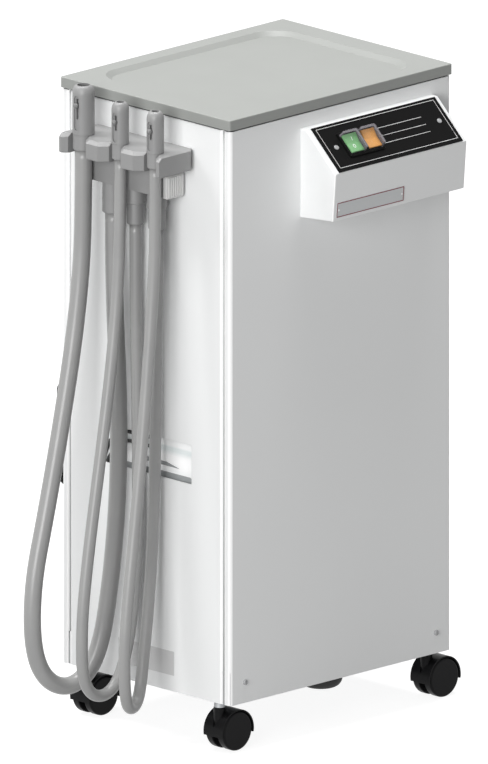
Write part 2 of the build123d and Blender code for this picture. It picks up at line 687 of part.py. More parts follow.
def rocker_cap(index):
    """Clear splash cap over a rocker, standing on the bezel."""
    base = FASCIA_T + BEZEL_T
    width = ROCKER_W + 2 * (ROCKER_POCKET_FIT + CAP_MARGIN + CAP_WALL)
    length = ROCKER_H + 2 * (ROCKER_POCKET_FIT + CAP_MARGIN + CAP_WALL)

    def form(shrink, rise):
        bottom = RectangleRounded(width - 2 * shrink, length - 2 * shrink, 2.5 - shrink)
        top = Pos(0, 0, rise) * RectangleRounded(
            width - 2 * shrink - 2 * CAP_TAPER, length - 2 * shrink - 2 * CAP_TAPER,
            2.5 - shrink)
        return loft([bottom, top])

    cap = form(0, CAP_RISE)
    cap = fillet(cap.faces().sort_by(Axis.Z)[-1].edges(), 0.8)
    cap -= form(CAP_WALL, CAP_RISE - CAP_WALL)
    return on_slant(cap, rocker_u(index), -BEZEL_CENTRE_V, base)


def handpiece_d(name):
    """Outer diameter of a handpiece."""
    return LARGE_D if name == "large" else SMALL_D


def slot_gap(name):
    """Width of a handpiece's slot in the holder."""
    return handpiece_d(name) - 2 * SHOULDER_STEP + 2 * SLOT_FIT


def hose_holder():
    """Moulded fork with three forward-open slots for the handpieces."""
    front = FACE_Y - HOLDER_OUT
    half = HOLDER_W / 2
    body = block((-half, half), (front, FACE_Y), (HOLDER_BOTTOM, HOLDER_TOP))
    body = chamfer(body.edges().filter_by(Axis.Z).sort_by(Axis.Y)[-2:], HOLDER_BACK_CHAMFER)
    for name, x in SLOT_PLACES.items():
        gap = slot_gap(name) / 2
        body -= rod(gap, HOLDER_BOTTOM, HOLDER_TOP, x, SLOT_Y)
        body -= block((x - gap, x + gap), (front, SLOT_Y), (HOLDER_BOTTOM, HOLDER_TOP))
        mouth_y = front + LUG_FLARE
        left = min(LUG_FLARE, half + x - gap - END_LUG_NOSE)
        right = min(LUG_FLARE, half - x - gap - END_LUG_NOSE)
        mouth = [(x - gap - left, front), (x - gap, front + left), (x - gap, mouth_y + 1),
                 (x + gap, mouth_y + 1), (x + gap, front + right), (x + gap + right, front)]
        flare = extrude(make_face(Polyline(*mouth, close=True)), HOLDER_T)
        body -= Pos(0, 0, HOLDER_BOTTOM) * flare
    nose = [e for e in body.edges()
            if e.center().Y < front + LUG_FLARE and abs(e.tangent_at(0).X) > 0.5
            and abs(e.tangent_at(0).Z) < 0.1]
    body = chamfer([e for e in nose if e.center().Z > HOLDER_BOTTOM + 1], HOLDER_TOP_CHAMFER)
    lower = [e for e in body.edges()
             if e.center().Y < front + LUG_FLARE and abs(e.tangent_at(0).X) > 0.5
             and e.center().Z < HOLDER_BOTTOM + 0.01]
    return chamfer(lower, HOLDER_BOTTOM_CHAMFER)


def handpiece(name):
    """Handpiece: domed head with a tip bore, side pocket for the air valve, necked foot."""
    radius = handpiece_d(name) / 2
    height = LARGE_H if name == "large" else SMALL_H
    bore = (LARGE_TIP_BORE_D if name == "large" else SMALL_TIP_BORE_D) / 2
    top = HANDPIECE_BOTTOM + height
    shoulder = HOLDER_TOP + SHOULDER_OVER
    neck = radius - SHOULDER_STEP - SLOT_FIT / 2
    dome_h = LARGE_DOME_H if name == "large" else SMALL_DOME_H
    dome_w = radius - bore - TIP_LIP
    outline = [
        Line((0, HANDPIECE_BOTTOM), (neck - 1, HANDPIECE_BOTTOM)),
        Line((neck - 1, HANDPIECE_BOTTOM), (neck, HANDPIECE_BOTTOM + 1)),
        Line((neck, HANDPIECE_BOTTOM + 1), (neck, shoulder)),
        Line((neck, shoulder), (radius, shoulder + SHOULDER_STEP)),
        Line((radius, shoulder + SHOULDER_STEP), (radius, top - dome_h)),
        EllipticalCenterArc((radius - dome_w, top - dome_h), dome_w, dome_h, arc_size=90),
        Line((radius - dome_w, top), (0, top)),
        Line((0, top), (0, HANDPIECE_BOTTOM)),
    ]
    body = revolve(Plane.XZ * make_face(Wire(outline)), Axis.Z)
    body -= rod(bore, top - TIP_BORE_DEPTH, top)
    body -= rod(bore - TIP_SEAT, HANDPIECE_BOTTOM, top - TIP_BORE_DEPTH)
    pocket_top = top - VALVE_POCKET_TOP
    pocket_length = LARGE_POCKET_LENGTH if name == "large" else SMALL_POCKET_LENGTH
    pocket = Pos(0, -radius, pocket_top - pocket_length / 2) * Box(
        VALVE_POCKET_W, 2 * VALVE_POCKET_FLOOR, pocket_length)
    pocket = fillet(pocket.edges().filter_by(Axis.Y), VALVE_POCKET_W / 2 - 0.1)
    travel_down = LARGE_VALVE_TRAVEL_DOWN if name == "large" else SMALL_VALVE_TRAVEL_DOWN
    slot_length = VALVE_TRAVEL_UP + travel_down + VALVE_NECK_D + 2 * VALVE_SLOT_SPARE
    slot_middle = top - VALVE_KNOB_DOWN + (VALVE_TRAVEL_UP - travel_down) / 2
    slot = Pos(0, -radius, slot_middle) * Box(
        VALVE_SLOT_W, 2 * (VALVE_POCKET_FLOOR + VALVE_SLOT_DEPTH), slot_length)
    body = body - Rot(0, 0, VALVE_TURN) * (pocket + slot)
    return Pos(SLOT_PLACES[name], SLOT_Y, 0) * body


def valve_knob(name):
    """Ball knob of the air valve, its neck guided in the handpiece's slot."""
    radius = handpiece_d(name) / 2
    height = LARGE_H if name == "large" else SMALL_H
    z = HANDPIECE_BOTTOM + height - VALVE_KNOB_DOWN
    floor = radius - VALVE_POCKET_FLOOR
    ball_r = VALVE_KNOB_D / 2
    ball = Pos(0, -(floor + VALVE_FIT + ball_r - VALVE_KNOB_SINK), 0) * Sphere(ball_r)
    ball -= block((-10, 10), (-floor - VALVE_FIT, 20), (-10, 10))
    neck_in = floor - VALVE_FOOT
    neck = Pos(0, -(neck_in + floor + ball_r) / 2, 0) * Rot(90, 0, 0) * Cylinder(
        VALVE_NECK_D / 2 - VALVE_FIT, floor + ball_r - neck_in)
    knob = ball + neck
    return Pos(SLOT_PLACES[name], SLOT_Y, z) * Rot(0, 0, VALVE_TURN) * knob


def suction_manifold():
    """Manifold block on the front: one port up to each cuff and a bore for the filter."""
    y_out = FACE_Y - MANIFOLD_OUT
    body = block((-MANIFOLD_W / 2, MANIFOLD_W / 2), (y_out, FACE_Y),
                 (MANIFOLD_BOTTOM, MANIFOLD_TOP))
    front_edges = body.edges().filter_by(Axis.X).sort_by(Axis.Y)[:2]
    body = fillet(front_edges.sort_by(Axis.Z)[-1], MANIFOLD_EDGE_R)
    body = fillet(body.edges().filter_by(Axis.Z).sort_by(Axis.Y)[:2], 2.0)
    bore_length = FILTER_LENGTH + 2
    bore = Pos(MANIFOLD_W / 2 - bore_length / 2, CUFF_Y, filter_z()) * Rot(0, 90, 0) * Cylinder(
        FILTER_BORE_D / 2, bore_length)
    body -= bore
    for name, side in HOSE_PLACES.items():
        body -= rod(cuff_bore(name), MANIFOLD_BOTTOM, filter_z(), side * CUFF_PITCH, CUFF_Y)
    outlet = Pos(0, (CUFF_Y + FACE_Y) / 2, filter_z()) * Rot(90, 0, 0) * Cylinder(
        FILTER_BORE_D / 2 - 3, abs(FACE_Y - CUFF_Y))
    return body - outlet


def filter_z():
    """Height of the filter's axis."""
    return MANIFOLD_TOP - MANIFOLD_H / 2 - FILTER_CAP_DOWN


def cuff_bore(name):
    """Inner radius of a hose cuff."""
    return (LARGE_HOSE_D if name == "large" else SMALL_HOSE_D) / 2 - HOSE_WALL


def hose_cuff(name):
    """Moulded cuff under the manifold, with a wider collar at its top."""
    large = name == "large"
    radius = (LARGE_CUFF_D if large else SMALL_CUFF_D) / 2
    bottom = MANIFOLD_BOTTOM - (LARGE_CUFF_H if large else SMALL_CUFF_H)
    cuff = rod(radius, bottom, MANIFOLD_BOTTOM)
    cuff = fillet(cuff.faces().sort_by(Axis.Z)[0].edges(), 1.5)
    if not large:
        collar = rod(CUFF_COLLAR_D / 2, MANIFOLD_BOTTOM - CUFF_COLLAR_H, MANIFOLD_BOTTOM)
        cuff += fillet(collar.faces().sort_by(Axis.Z)[0].edges(), 1.5)
    cuff -= rod(cuff_bore(name), bottom, MANIFOLD_BOTTOM)
    return Pos(HOSE_PLACES[name] * CUFF_PITCH, CUFF_Y, 0) * cuff


def filter_basket():
    """Slotted filter tube that slides in the manifold's bore."""
    radius = FILTER_BORE_D / 2 - FILTER_FIT
    x_out = MANIFOLD_W / 2 + FILTER_FACE_GAP
    tube = Cylinder(radius, FILTER_LENGTH) - Cylinder(radius - FILTER_WALL, FILTER_LENGTH)
    for index in range(FILTER_SLOTS):
        slot = Box(2 * radius, FILTER_SLOT_W, FILTER_SLOT_LENGTH,
                   align=(Align.MIN, Align.CENTER, Align.CENTER))
        tube -= Rot(0, 0, index * 360 / FILTER_SLOTS) * slot
    return Pos(x_out - FILTER_LENGTH / 2, CUFF_Y, filter_z()) * Rot(0, 90, 0) * tube


def filter_cap():
    """Ribbed cap that pulls the filter out."""
    x_in = MANIFOLD_W / 2 + FILTER_FACE_GAP
    half = FILTER_CAP_D / 2
    cap = block((x_in, x_in + FILTER_CAP_T - FILTER_RIB_OUT), (-half, half),
                (-FILTER_CAP_H / 2, FILTER_CAP_H / 2))
    cap = fillet(cap.edges().filter_by(Axis.X), 3.0)
    cap = fillet(cap.faces().sort_by(Axis.X)[-1].edges(), 1.5)
    pitch = (FILTER_CAP_D - 8) / (FILTER_CAP_RIBS - 1)
    for index in range(FILTER_CAP_RIBS):
        y = -(FILTER_CAP_D - 8) / 2 + index * pitch
        rib = Pos(x_in + FILTER_CAP_T - FILTER_RIB_OUT - 0.3, y, 0) * Cylinder(
            FILTER_RIB_OUT + 0.3, FILTER_CAP_H - 4)
        cap += rib
    return Pos(0, CUFF_Y, filter_z()) * cap


def route_height(z):
    """Height of a route's point once the strands are stretched to the cabinet's height."""
    share = (z - ROUTE_FREE_LOW) / (ROUTE_FREE_HIGH - ROUTE_FREE_LOW)
    return z + (HEIGHT - ROUTE_HEIGHT) * min(max(share, 0), 1)


def hose_path(name):
    """Centre line of a hose as straight runs joined by the largest tangent arcs."""
    points = [Vector(x, -TOP_D / 2 - out, route_height(z)) for x, out, z in HOSE_ROUTES[name]]
    radii = []
    for before, corner, after in zip(points, points[1:], points[2:]):
        run_in = corner - before
        run_out = after - corner
        turn = radians(run_in.get_angle(run_out))
        radii.append(0.45 * min(run_in.length, run_out.length) / tan(turn / 2))
    print(f"hose {name}: smallest arc radius {min(radii):.1f} mm")
    return FilletPolyline(*points, radius=radii)


def hose(name):
    """One suction hose, plain and solid."""
    diameter = LARGE_HOSE_D if name == "large" else SMALL_HOSE_D
    path = hose_path(name)
    section = Plane(origin=path @ 0, z_dir=path % 0) * Circle(diameter / 2)
    tube = sweep(section, path=path)
    expected = pi * diameter ** 2 / 4 * path.length
    print(f"hose {name}: length {path.length:.0f} mm, volume ratio {tube.volume / expected:.4f}")
    return tube


def collection_jar():
    """Clear jar with a rounded foot."""
    radius = JAR_D / 2
    outer = rod(radius, JAR_BOTTOM, JAR_TOP)
    outer = fillet(outer.faces().sort_by(Axis.Z)[0].edges(), JAR_FOOT_R)
    inner = rod(radius - JAR_WALL, JAR_BOTTOM + JAR_WALL, JAR_TOP)
    inner = fillet(inner.faces().sort_by(Axis.Z)[0].edges(), JAR_FOOT_R - JAR_WALL)
    return Pos(0, JAR_Y, 0) * (outer - inner)


def jar_rings():
    """Two open rubber straps round the jar's rim, their free ends at the front."""
    rings = []
    for index in (0, 1):
        top = JAR_TOP - index * JAR_RING_PITCH
        ring = rod(JAR_D / 2 + JAR_RING_T, top - JAR_RING_H, top) - rod(
            JAR_D / 2, top - JAR_RING_H, top)
        ring -= block((JAR_RING_END_X, JAR_D), (-JAR_D, 0), (top - JAR_RING_H, top))
        rings.append(Pos(0, JAR_Y, 0) * ring)
    return Compound(children=rings)


def jar_lid():
    """Lid with an inlet and an outlet spigot."""
    radius = JAR_D / 2 + JAR_LID_OVER
    lid = rod(radius, JAR_TOP, JAR_TOP + JAR_LID_H)
    lid = fillet(lid.faces().sort_by(Axis.Z)[-1].edges(), 6)
    lid -= rod(radius - 10, JAR_TOP, JAR_TOP + JAR_LID_H - 8)
    for y in (-lid_port_y(), lid_port_y()):
        lid += rod(PIPE_D / 2 - PIPE_WALL, JAR_TOP + JAR_LID_H - 8,
                   JAR_TOP + JAR_LID_H + TURBINE_PORT_H, 0, y)
        lid -= rod(PIPE_D / 2 - 2 * PIPE_WALL, JAR_TOP + JAR_LID_H - 8,
                   JAR_TOP + JAR_LID_H + TURBINE_PORT_H, 0, y)
    return Pos(0, JAR_Y, 0) * lid


def lid_port_y():
    """Distance of the lid's spigots from its middle."""
    return JAR_D / 4


def jar_shelf():
    """Folded shelf under the jar, welded across the legs."""
    outer_x = PAN_X - LEG_INSET - LEG_T
    y_front = -(PAN_Y - PANEL_RETURN) + LEG_T
    y_back = JAR_Y + JAR_D / 2 + 4
    shelf = block((-outer_x, outer_x), (y_front, y_back), (JAR_BOTTOM - 20, JAR_BOTTOM))
    shelf -= block((-outer_x, outer_x), (y_front + JAR_SHELF_T, y_back - JAR_SHELF_T),
                   (JAR_BOTTOM - 20, JAR_BOTTOM - JAR_SHELF_T))
    return shelf


def pipe(points, bend_r):
    """Rigid inner pipe along the points, hollow."""
    path = FilletPolyline(*points, radius=bend_r)
    section = Plane(origin=path @ 0, z_dir=path % 0) * (
        Circle(PIPE_D / 2) - Circle(PIPE_D / 2 - PIPE_WALL))
    return sweep(section, path=path)


def jar_pipe():
    """Pipe from the manifold's outlet to the jar."""
    z_in = filter_z()
    y_port = JAR_Y - lid_port_y()
    return pipe([(0, FACE_Y, z_in), (0, y_port, z_in),
                 (0, y_port, JAR_TOP + JAR_LID_H)], PIPE_D)


def turbine_pipe():
    """Pipe from the jar to the turbine's inlet."""
    top = JAR_TOP + JAR_LID_H + 4 * PIPE_D
    return pipe([(0, JAR_Y + lid_port_y(), JAR_TOP + JAR_LID_H), (0, JAR_Y + lid_port_y(), top),
                 (0, TURBINE_Y, top), (0, TURBINE_Y, TURBINE_TOP)], PIPE_D)


def turbine_housing():
    """Two-part turbine casing with an axial inlet port."""
    casing = rod(TURBINE_D / 2, TURBINE_BOTTOM, TURBINE_TOP)
    casing = fillet(casing.edges().filter_by(GeomType.CIRCLE), 10)
    casing += rod(TURBINE_D / 2 + 3, TURBINE_BOTTOM + TURBINE_H / 2 - 3,
                  TURBINE_BOTTOM + TURBINE_H / 2 + 3)
    port_r = PIPE_D / 2 - PIPE_WALL
    casing += rod(port_r, TURBINE_TOP, TURBINE_TOP + TURBINE_PORT_H)
    casing -= rod(port_r - PIPE_WALL, TURBINE_TOP - 8, TURBINE_TOP + TURBINE_PORT_H)
    return Pos(0, TURBINE_Y, 0) * casing


def motor():
    """Finned motor hung under the turbine on a foot plate."""
    low = PAN_FLOOR + FOOT_H
    body = rod(MOTOR_D / 2 - MOTOR_FIN_OUT, low, TURBINE_BOTTOM)
    fin = block((MOTOR_D / 2 - 2 * MOTOR_FIN_OUT, MOTOR_D / 2), (-MOTOR_FIN_T / 2, MOTOR_FIN_T / 2),
                (low + 12, TURBINE_BOTTOM - 12))
    for index in range(MOTOR_FINS):
        body += Rot(0, 0, (index + 0.5) * 360 / MOTOR_FINS) * fin
    body += rod(MOTOR_D / 2 + 4, low, low + 6)
    return Pos(0, TURBINE_Y, 0) * body


def motor_feet():
    """Four rubber feet between the motor and the pan."""
    feet = []
    for x_sign in (-1, 1):
        for y_sign in (-1, 1):
            reach = FOOT_RING_R / 2 ** 0.5
            foot = rod(FOOT_D / 2, PAN_FLOOR, PAN_FLOOR + FOOT_H)
            foot = fillet(foot.edges().filter_by(GeomType.CIRCLE), 1.5)
            feet.append(Pos(x_sign * reach, TURBINE_Y + y_sign * reach, 0) * foot)
    return Compound(children=feet)


def silencer():
    """Exhaust silencer cup that hangs through the pan."""
    low = GROUND_GAP - SILENCER_DROP
    cup = rod(SILENCER_D / 2, low, low + SILENCER_H)
    cup = fillet(cup.faces().sort_by(Axis.Z)[0].edges(), 12)
    cup += rod(SILENCER_D / 2 + SILENCER_FLANGE, PAN_FLOOR, PAN_FLOOR + 3)
    return Pos(SILENCER_X, SILENCER_Y, 0) * cup


def drain_spigot():
    """Drain spigot with a hexagon nut flange under the pan."""
    spigot = rod(DRAIN_D / 2, GROUND_GAP - DRAIN_DROP, PAN_FLOOR + 12)
    spigot += Pos(0, 0, GROUND_GAP - 5) * extrude(RegularPolygon(DRAIN_NUT_D / 2, 6), 5)
    spigot -= rod(DRAIN_D / 2 - DRAIN_WALL, GROUND_GAP - DRAIN_DROP, PAN_FLOOR + 12)
    return Pos(DRAIN_X, DRAIN_Y, 0) * spigot


def side_grip():
    """Moulded bow grip on the left side, near the front."""
    y = FACE_Y + GRIP_FROM_FRONT
    out = SIDE_X + GRIP_OUT
    low = GRIP_TOP - GRIP_LENGTH
    lean = GRIP_OUT * 0.55
    outer = [(-SIDE_X, low), (-out, low + lean), (-out, GRIP_TOP - lean), (-SIDE_X, GRIP_TOP)]
    inner_x = -(out - GRIP_BAR)
    inner = [(-SIDE_X, low + 1.5 * GRIP_BAR), (inner_x, low + 1.5 * GRIP_BAR + 6),
             (inner_x, GRIP_TOP - 1.5 * GRIP_BAR - 6), (-SIDE_X, GRIP_TOP - 1.5 * GRIP_BAR)]
    plane = Plane((0, y + GRIP_W / 2, 0), x_dir=(1, 0, 0), z_dir=(0, -1, 0))
    bow = extrude(plane * make_face(Polyline(*outer, close=True)), GRIP_W)
    bow = fillet(bow.edges().filter_by(Axis.Y).sort_by(Axis.X)[:2], GRIP_BEND_R)
    gap = extrude(plane * make_face(Polyline(*inner, close=True)), GRIP_W)
    bow -= gap
    return bow


def castor_stem():
    """Castor stem with a collar under the pan, and its thread end above."""
    low = HOOD_TOWER_TOP - STEM_DEPTH
    stem = rod(STEM_D / 2, low, PAN_FLOOR + STEM_NUT_H + STEM_END)
    stem += rod(STEM_COLLAR_D / 2, HOOD_TOWER_TOP + STEM_COLLAR_GAP, GROUND_GAP)
    return stem


def castor_stems():
    """The four castor stems."""
    return Compound(children=[Pos(x, y, 0) * castor_stem() for x, y in CASTOR_PLACES.values()])


def castor_nuts():
    """The four nuts that hold the stems to the pan."""
    nut = Pos(0, 0, PAN_FLOOR) * extrude(
        RegularPolygon(STEM_NUT_AF / 2, 6, major_radius=False), STEM_NUT_H)
    nut -= rod(STEM_D / 2, PAN_FLOOR, PAN_FLOOR + STEM_NUT_H)
    return Compound(children=[Pos(x, y, 0) * nut for x, y in CASTOR_PLACES.values()])


def castor_hood():
    """Twin-wheel hood: a fender over both wheels, a web between them and a swivel tower."""
    half = WHEEL_MID + WHEEL_W / 2
    across = Rot(0, 90, 0)
    fender = across * Cylinder(HOOD_R, 2 * half)
    fender -= across * Cylinder(HOOD_R - HOOD_T, 2 * half)
    web = across * Cylinder(HOOD_R, HOOD_WEB)
    hood = fender + web
    hood -= block((-half, half), (-HOOD_R, HOOD_R), (-HOOD_R, -HOOD_SKIRT))
    tip_z = HOOD_R - HOOD_NOTCH_H
    notch = make_face(Polyline((-HOOD_NOTCH_W / 2, HOOD_R), (HOOD_NOTCH_W / 2, HOOD_R),
                               (0, tip_z), close=True))
    hood -= Pos(0, -WHEEL_TRAIL - STEM_D / 2 - 1, 0) * extrude(Plane.XZ * notch, HOOD_R)
    boss = across * Cylinder(AXLE_D / 2 + 4, HOOD_WEB)
    tower = rod(HOOD_TOWER_D / 2, 0, HOOD_TOWER_TOP - WHEEL_R, 0, -WHEEL_TRAIL)
    wheel_room = across * Cylinder(HOOD_R - HOOD_T, 2 * half)
    wheel_room -= across * Cylinder(HOOD_R, HOOD_WEB)
    hood = hood + boss + (tower - wheel_room)
    hood -= across * Cylinder(AXLE_D / 2, 2 * half)
    hood -= rod(STEM_D / 2 + STEM_FIT, HOOD_TOWER_TOP - STEM_DEPTH - 1 - WHEEL_R,
                HOOD_TOWER_TOP - WHEEL_R, 0, -WHEEL_TRAIL)
    return hood


def castor_wheel():
    """One wheel: rounded tread, a closed outer face and a running bore from the inside."""
    radius = WHEEL_R
    wheel = Cylinder(radius, WHEEL_W)
    wheel = fillet(wheel.faces().sort_by(Axis.Z)[-1].edges(), WHEEL_EDGE_R)
    wheel = fillet(wheel.faces().sort_by(Axis.Z)[0].edges(), 1.0)
    return wheel - Pos(0, 0, -WHEEL_COVER) * Cylinder(AXLE_D / 2 + AXLE_FIT, WHEEL_W)


def place_castors(nodes):
    """Add each castor's hood, axle and two wheels."""
    for corner, (x, y) in CASTOR_PLACES.items():
        hub = Pos(x, y + WHEEL_TRAIL, WHEEL_R)
        axle_length = 2 * WHEEL_MID + WHEEL_W - 2 * (WHEEL_COVER + AXLE_END)
        nodes[f"castor_hood_{corner}"] = hub * castor_hood()
        nodes[f"castor_axle_{corner}"] = hub * Rot(0, 90, 0) * Cylinder(AXLE_D / 2, axle_length)
        for side, turn in (("left", -90), ("right", 90)):
            place = hub * Pos((WHEEL_MID if turn > 0 else -WHEEL_MID), 0, 0) * Rot(0, turn, 0)
            nodes[f"castor_wheel_{corner}_{side}"] = place * castor_wheel()


def all_nodes():
    """Every piece by its name, in the cabinet's own place."""
    right = side_panel()
    nodes = {
        "chassis_pan": chassis_pan(),
        "inner_frame": inner_frame(),
        "right_side_panel": right - console_wiring_hole(),
        "left_side_panel": mirror(right, Plane.YZ),
        "front_panel": front_panel(),
        "back_panel": back_panel(),
        "top_plate": top_plate(),
        "panel_screws": panel_screws(),
        "console_shell": console_shell(),
        "fascia_plate": fascia_plate(),
        "fascia_screws": fascia_screws(),
        "switch_bezel": switch_bezel(),
        "power_rocker": rocker(0),
        "suction_rocker": rocker(1),
        "rocker_caps": Compound(children=[rocker_cap(0), rocker_cap(1)]),
        "hose_holder": hose_holder(),
        "suction_manifold": suction_manifold(),
        "filter_basket": filter_basket(),
        "filter_cap": filter_cap(),
        "collection_jar": collection_jar(),
        "jar_rings": jar_rings(),
        "jar_lid": jar_lid(),
        "jar_pipe": jar_pipe(),
        "turbine_pipe": turbine_pipe(),
        "turbine_housing": turbine_housing(),
        "motor": motor(),
        "motor_feet": motor_feet(),
        "exhaust_silencer": silencer(),
        "drain_spigot": drain_spigot(),
        "mains_inlet": mains_inlet(),
        "side_grip": side_grip(),
        "castor_stems": castor_stems(),
        "castor_nuts": castor_nuts(),
    }
    nodes["large_hose_cuff"] = hose_cuff("large")
    nodes["small_hose_cuffs"] = Compound(children=[hose_cuff("middle"), hose_cuff("right")])
    for name in HOSE_PLACES:
        nodes[f"suction_hose_{name}"] = hose(name)
        nodes[f"handpiece_{name}"] = handpiece(name)
        nodes[f"valve_knob_{name}"] = valve_knob(name)
    place_castors(nodes)
    return nodes


if __name__ == "__main__":
    os.makedirs("parts", exist_ok=True)
    for node_name, shape in all_nodes().items():
        export_step(Pos(SHIFT_X, SHIFT_Y, 0) * shape, f"parts/{node_name}.step")
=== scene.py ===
"""Studio scene of a floor-standing vacuum aspirator, dressed round its CAD frame, in metres."""
from math import cos, pi, radians, sin

import bmesh
import bpy
from mathutils import Matrix, Vector


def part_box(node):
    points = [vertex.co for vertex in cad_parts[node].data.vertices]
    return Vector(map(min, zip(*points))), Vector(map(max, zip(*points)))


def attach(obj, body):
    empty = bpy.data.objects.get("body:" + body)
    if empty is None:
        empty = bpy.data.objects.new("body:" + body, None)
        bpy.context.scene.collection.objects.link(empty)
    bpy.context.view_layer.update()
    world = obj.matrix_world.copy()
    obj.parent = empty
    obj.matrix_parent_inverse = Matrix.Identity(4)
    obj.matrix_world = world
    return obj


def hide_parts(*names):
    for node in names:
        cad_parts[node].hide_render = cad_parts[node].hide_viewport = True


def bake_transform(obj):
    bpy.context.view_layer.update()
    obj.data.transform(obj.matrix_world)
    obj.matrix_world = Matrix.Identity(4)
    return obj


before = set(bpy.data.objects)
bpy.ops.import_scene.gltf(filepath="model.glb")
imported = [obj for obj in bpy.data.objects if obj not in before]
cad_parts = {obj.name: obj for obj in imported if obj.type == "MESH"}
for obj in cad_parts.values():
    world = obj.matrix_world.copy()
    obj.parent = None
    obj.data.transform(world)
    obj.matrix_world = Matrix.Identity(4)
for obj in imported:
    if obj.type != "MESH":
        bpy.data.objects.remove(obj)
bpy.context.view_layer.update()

# Camera: an orthographic one, because the picture's parallel edges stay parallel. It looks at the
# edge between the hose side and the console side from a little above.
PLATE_LOW, PLATE_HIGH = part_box("top_plate")
MIDDLE = Vector(((PLATE_LOW.x + PLATE_HIGH.x) / 2, (PLATE_LOW.y + PLATE_HIGH.y) / 2, 0))
CAMERA_AZIMUTH = radians(-44.7)
CAMERA_ELEVATION = radians(15.2)
CAMERA_DISTANCE = 3
PICTURE_HEIGHT = 0.9504
CAMERA_AIM = Vector((-0.0107, -0.0109, 0.4178))

lens = bpy.data.cameras.new("camera")
lens.type = "ORTHO"
lens.ortho_scale = PICTURE_HEIGHT
camera = bpy.data.objects.new("camera", lens)
bpy.context.collection.objects.link(camera)
towards_camera = Vector((cos(CAMERA_ELEVATION) * cos(CAMERA_AZIMUTH),
                         cos(CAMERA_ELEVATION) * sin(CAMERA_AZIMUTH),
                         sin(CAMERA_ELEVATION)))
camera.location = MIDDLE + CAMERA_AIM + CAMERA_DISTANCE * towards_camera
camera.rotation_euler = towards_camera.to_track_quat("Z", "Y").to_euler()
bpy.context.scene.camera = camera

# Suction hoses: smooth extruded PVC tube, drawn over a spigot inside each cuff and each
# handpiece. They hang in three long loops, and each front strand follows its handpiece. A route's
# points are x from the cabinet's middle, distance out from the top plate's edge, and height.
HOSE_ROUTES = {
    "large": [(-0.0385, 0.0165, 0.671), (-0.0385, 0.0165, 0.61), (-0.036, 0.016, 0.53),
              (-0.031, 0.015, 0.43), (-0.03, 0.016, 0.33), (-0.034, 0.02, 0.24),
              (-0.038, 0.027, 0.17), (-0.042, 0.036, 0.115), (-0.047, 0.053, 0.08),
              (-0.053, 0.08, 0.066), (-0.059, 0.108, 0.076), (-0.063, 0.127, 0.104),
              (-0.065, 0.134, 0.15), (-0.066, 0.129, 0.215), (-0.0655, 0.109, 0.29),
              (-0.065, 0.085, 0.39), (-0.065, 0.061, 0.5), (-0.065, 0.046, 0.6),
              (-0.065, 0.043, 0.69), (-0.065, 0.043, 0.7515)],
    "middle": [(0, 0.0165, 0.663), (0, 0.0165, 0.6), (0, 0.016, 0.54), (0.001, 0.014, 0.44),
               (0.002, 0.014, 0.34), (0.002, 0.014, 0.26), (0, 0.018, 0.185), (0, 0.028, 0.128),
               (0, 0.043, 0.083), (0, 0.065, 0.064), (0, 0.091, 0.067), (0, 0.108, 0.09),
               (0, 0.111, 0.133), (0, 0.108, 0.19), (0, 0.096, 0.27), (0, 0.079, 0.365),
               (0, 0.061, 0.47), (0, 0.047, 0.58), (0, 0.043, 0.68), (0, 0.043, 0.7515)],
    "right": [(0.0385, 0.0165, 0.663), (0.0385, 0.0165, 0.6), (0.0385, 0.018, 0.53),
              (0.0385, 0.019, 0.43), (0.0385, 0.021, 0.33), (0.0385, 0.026, 0.24),
              (0.039, 0.033, 0.175), (0.041, 0.041, 0.13), (0.043, 0.048, 0.092),
              (0.0465, 0.057, 0.066), (0.0535, 0.074, 0.0575), (0.0605, 0.091, 0.0655),
              (0.064, 0.099, 0.094), (0.065, 0.1, 0.14), (0.065, 0.094, 0.205),
              (0.064, 0.08, 0.3), (0.0635, 0.066, 0.41), (0.0625, 0.053, 0.53),
              (0.062, 0.045, 0.62), (0.062, 0.043, 0.69), (0.062, 0.043, 0.7515)],
}
HOSE_DIAMETER = {"large": 0.022, "middle": 0.015, "right": 0.015}
TUBE_SIDES = 32
SKIN_MM = 2.5


def linear(code):
    """Linear RGBA of an sRGB hex colour."""
    channels = [int(code[i:i + 2], 16) / 255 for i in (0, 2, 4)]
    return [c / 12.92 if c <= 0.04045 else ((c + 0.055) / 1.055) ** 2.4 for c in channels] + [1]


def add_node(tree, kind, settings=None, inputs=None):
    """Add a shader node: settings are its own, inputs are values or sockets to link from."""
    node = tree.nodes.new(kind)
    for name, value in (settings or {}).items():
        setattr(node, name, value)
    for name, value in (inputs or {}).items():
        if isinstance(value, bpy.types.NodeSocket):
            tree.links.new(value, node.inputs[name])
        else:
            node.inputs[name].default_value = value
    return node


def new_material(name):
    """Empty node material with its Principled shader, its node tree and object coordinates."""
    material = bpy.data.materials.new(name)
    material.use_nodes = True
    tree = material.node_tree
    place = add_node(tree, "ShaderNodeTexCoord").outputs["Object"]
    return material, tree, tree.nodes["Principled BSDF"], place


def per_metre(size_mm):
    """Texture scale whose features are this many millimetres apart."""
    return 1000 / size_mm


def tint(tree, shader, mottling, dark, light):
    """Colour the shader between two close colours by a mottling value."""
    ramp = add_node(tree, "ShaderNodeMix", {"data_type": "RGBA"},
                    {"Factor": mottling, "A": linear(dark), "B": linear(light)})
    tree.links.new(ramp.outputs["Result"], shader.inputs["Base Color"])


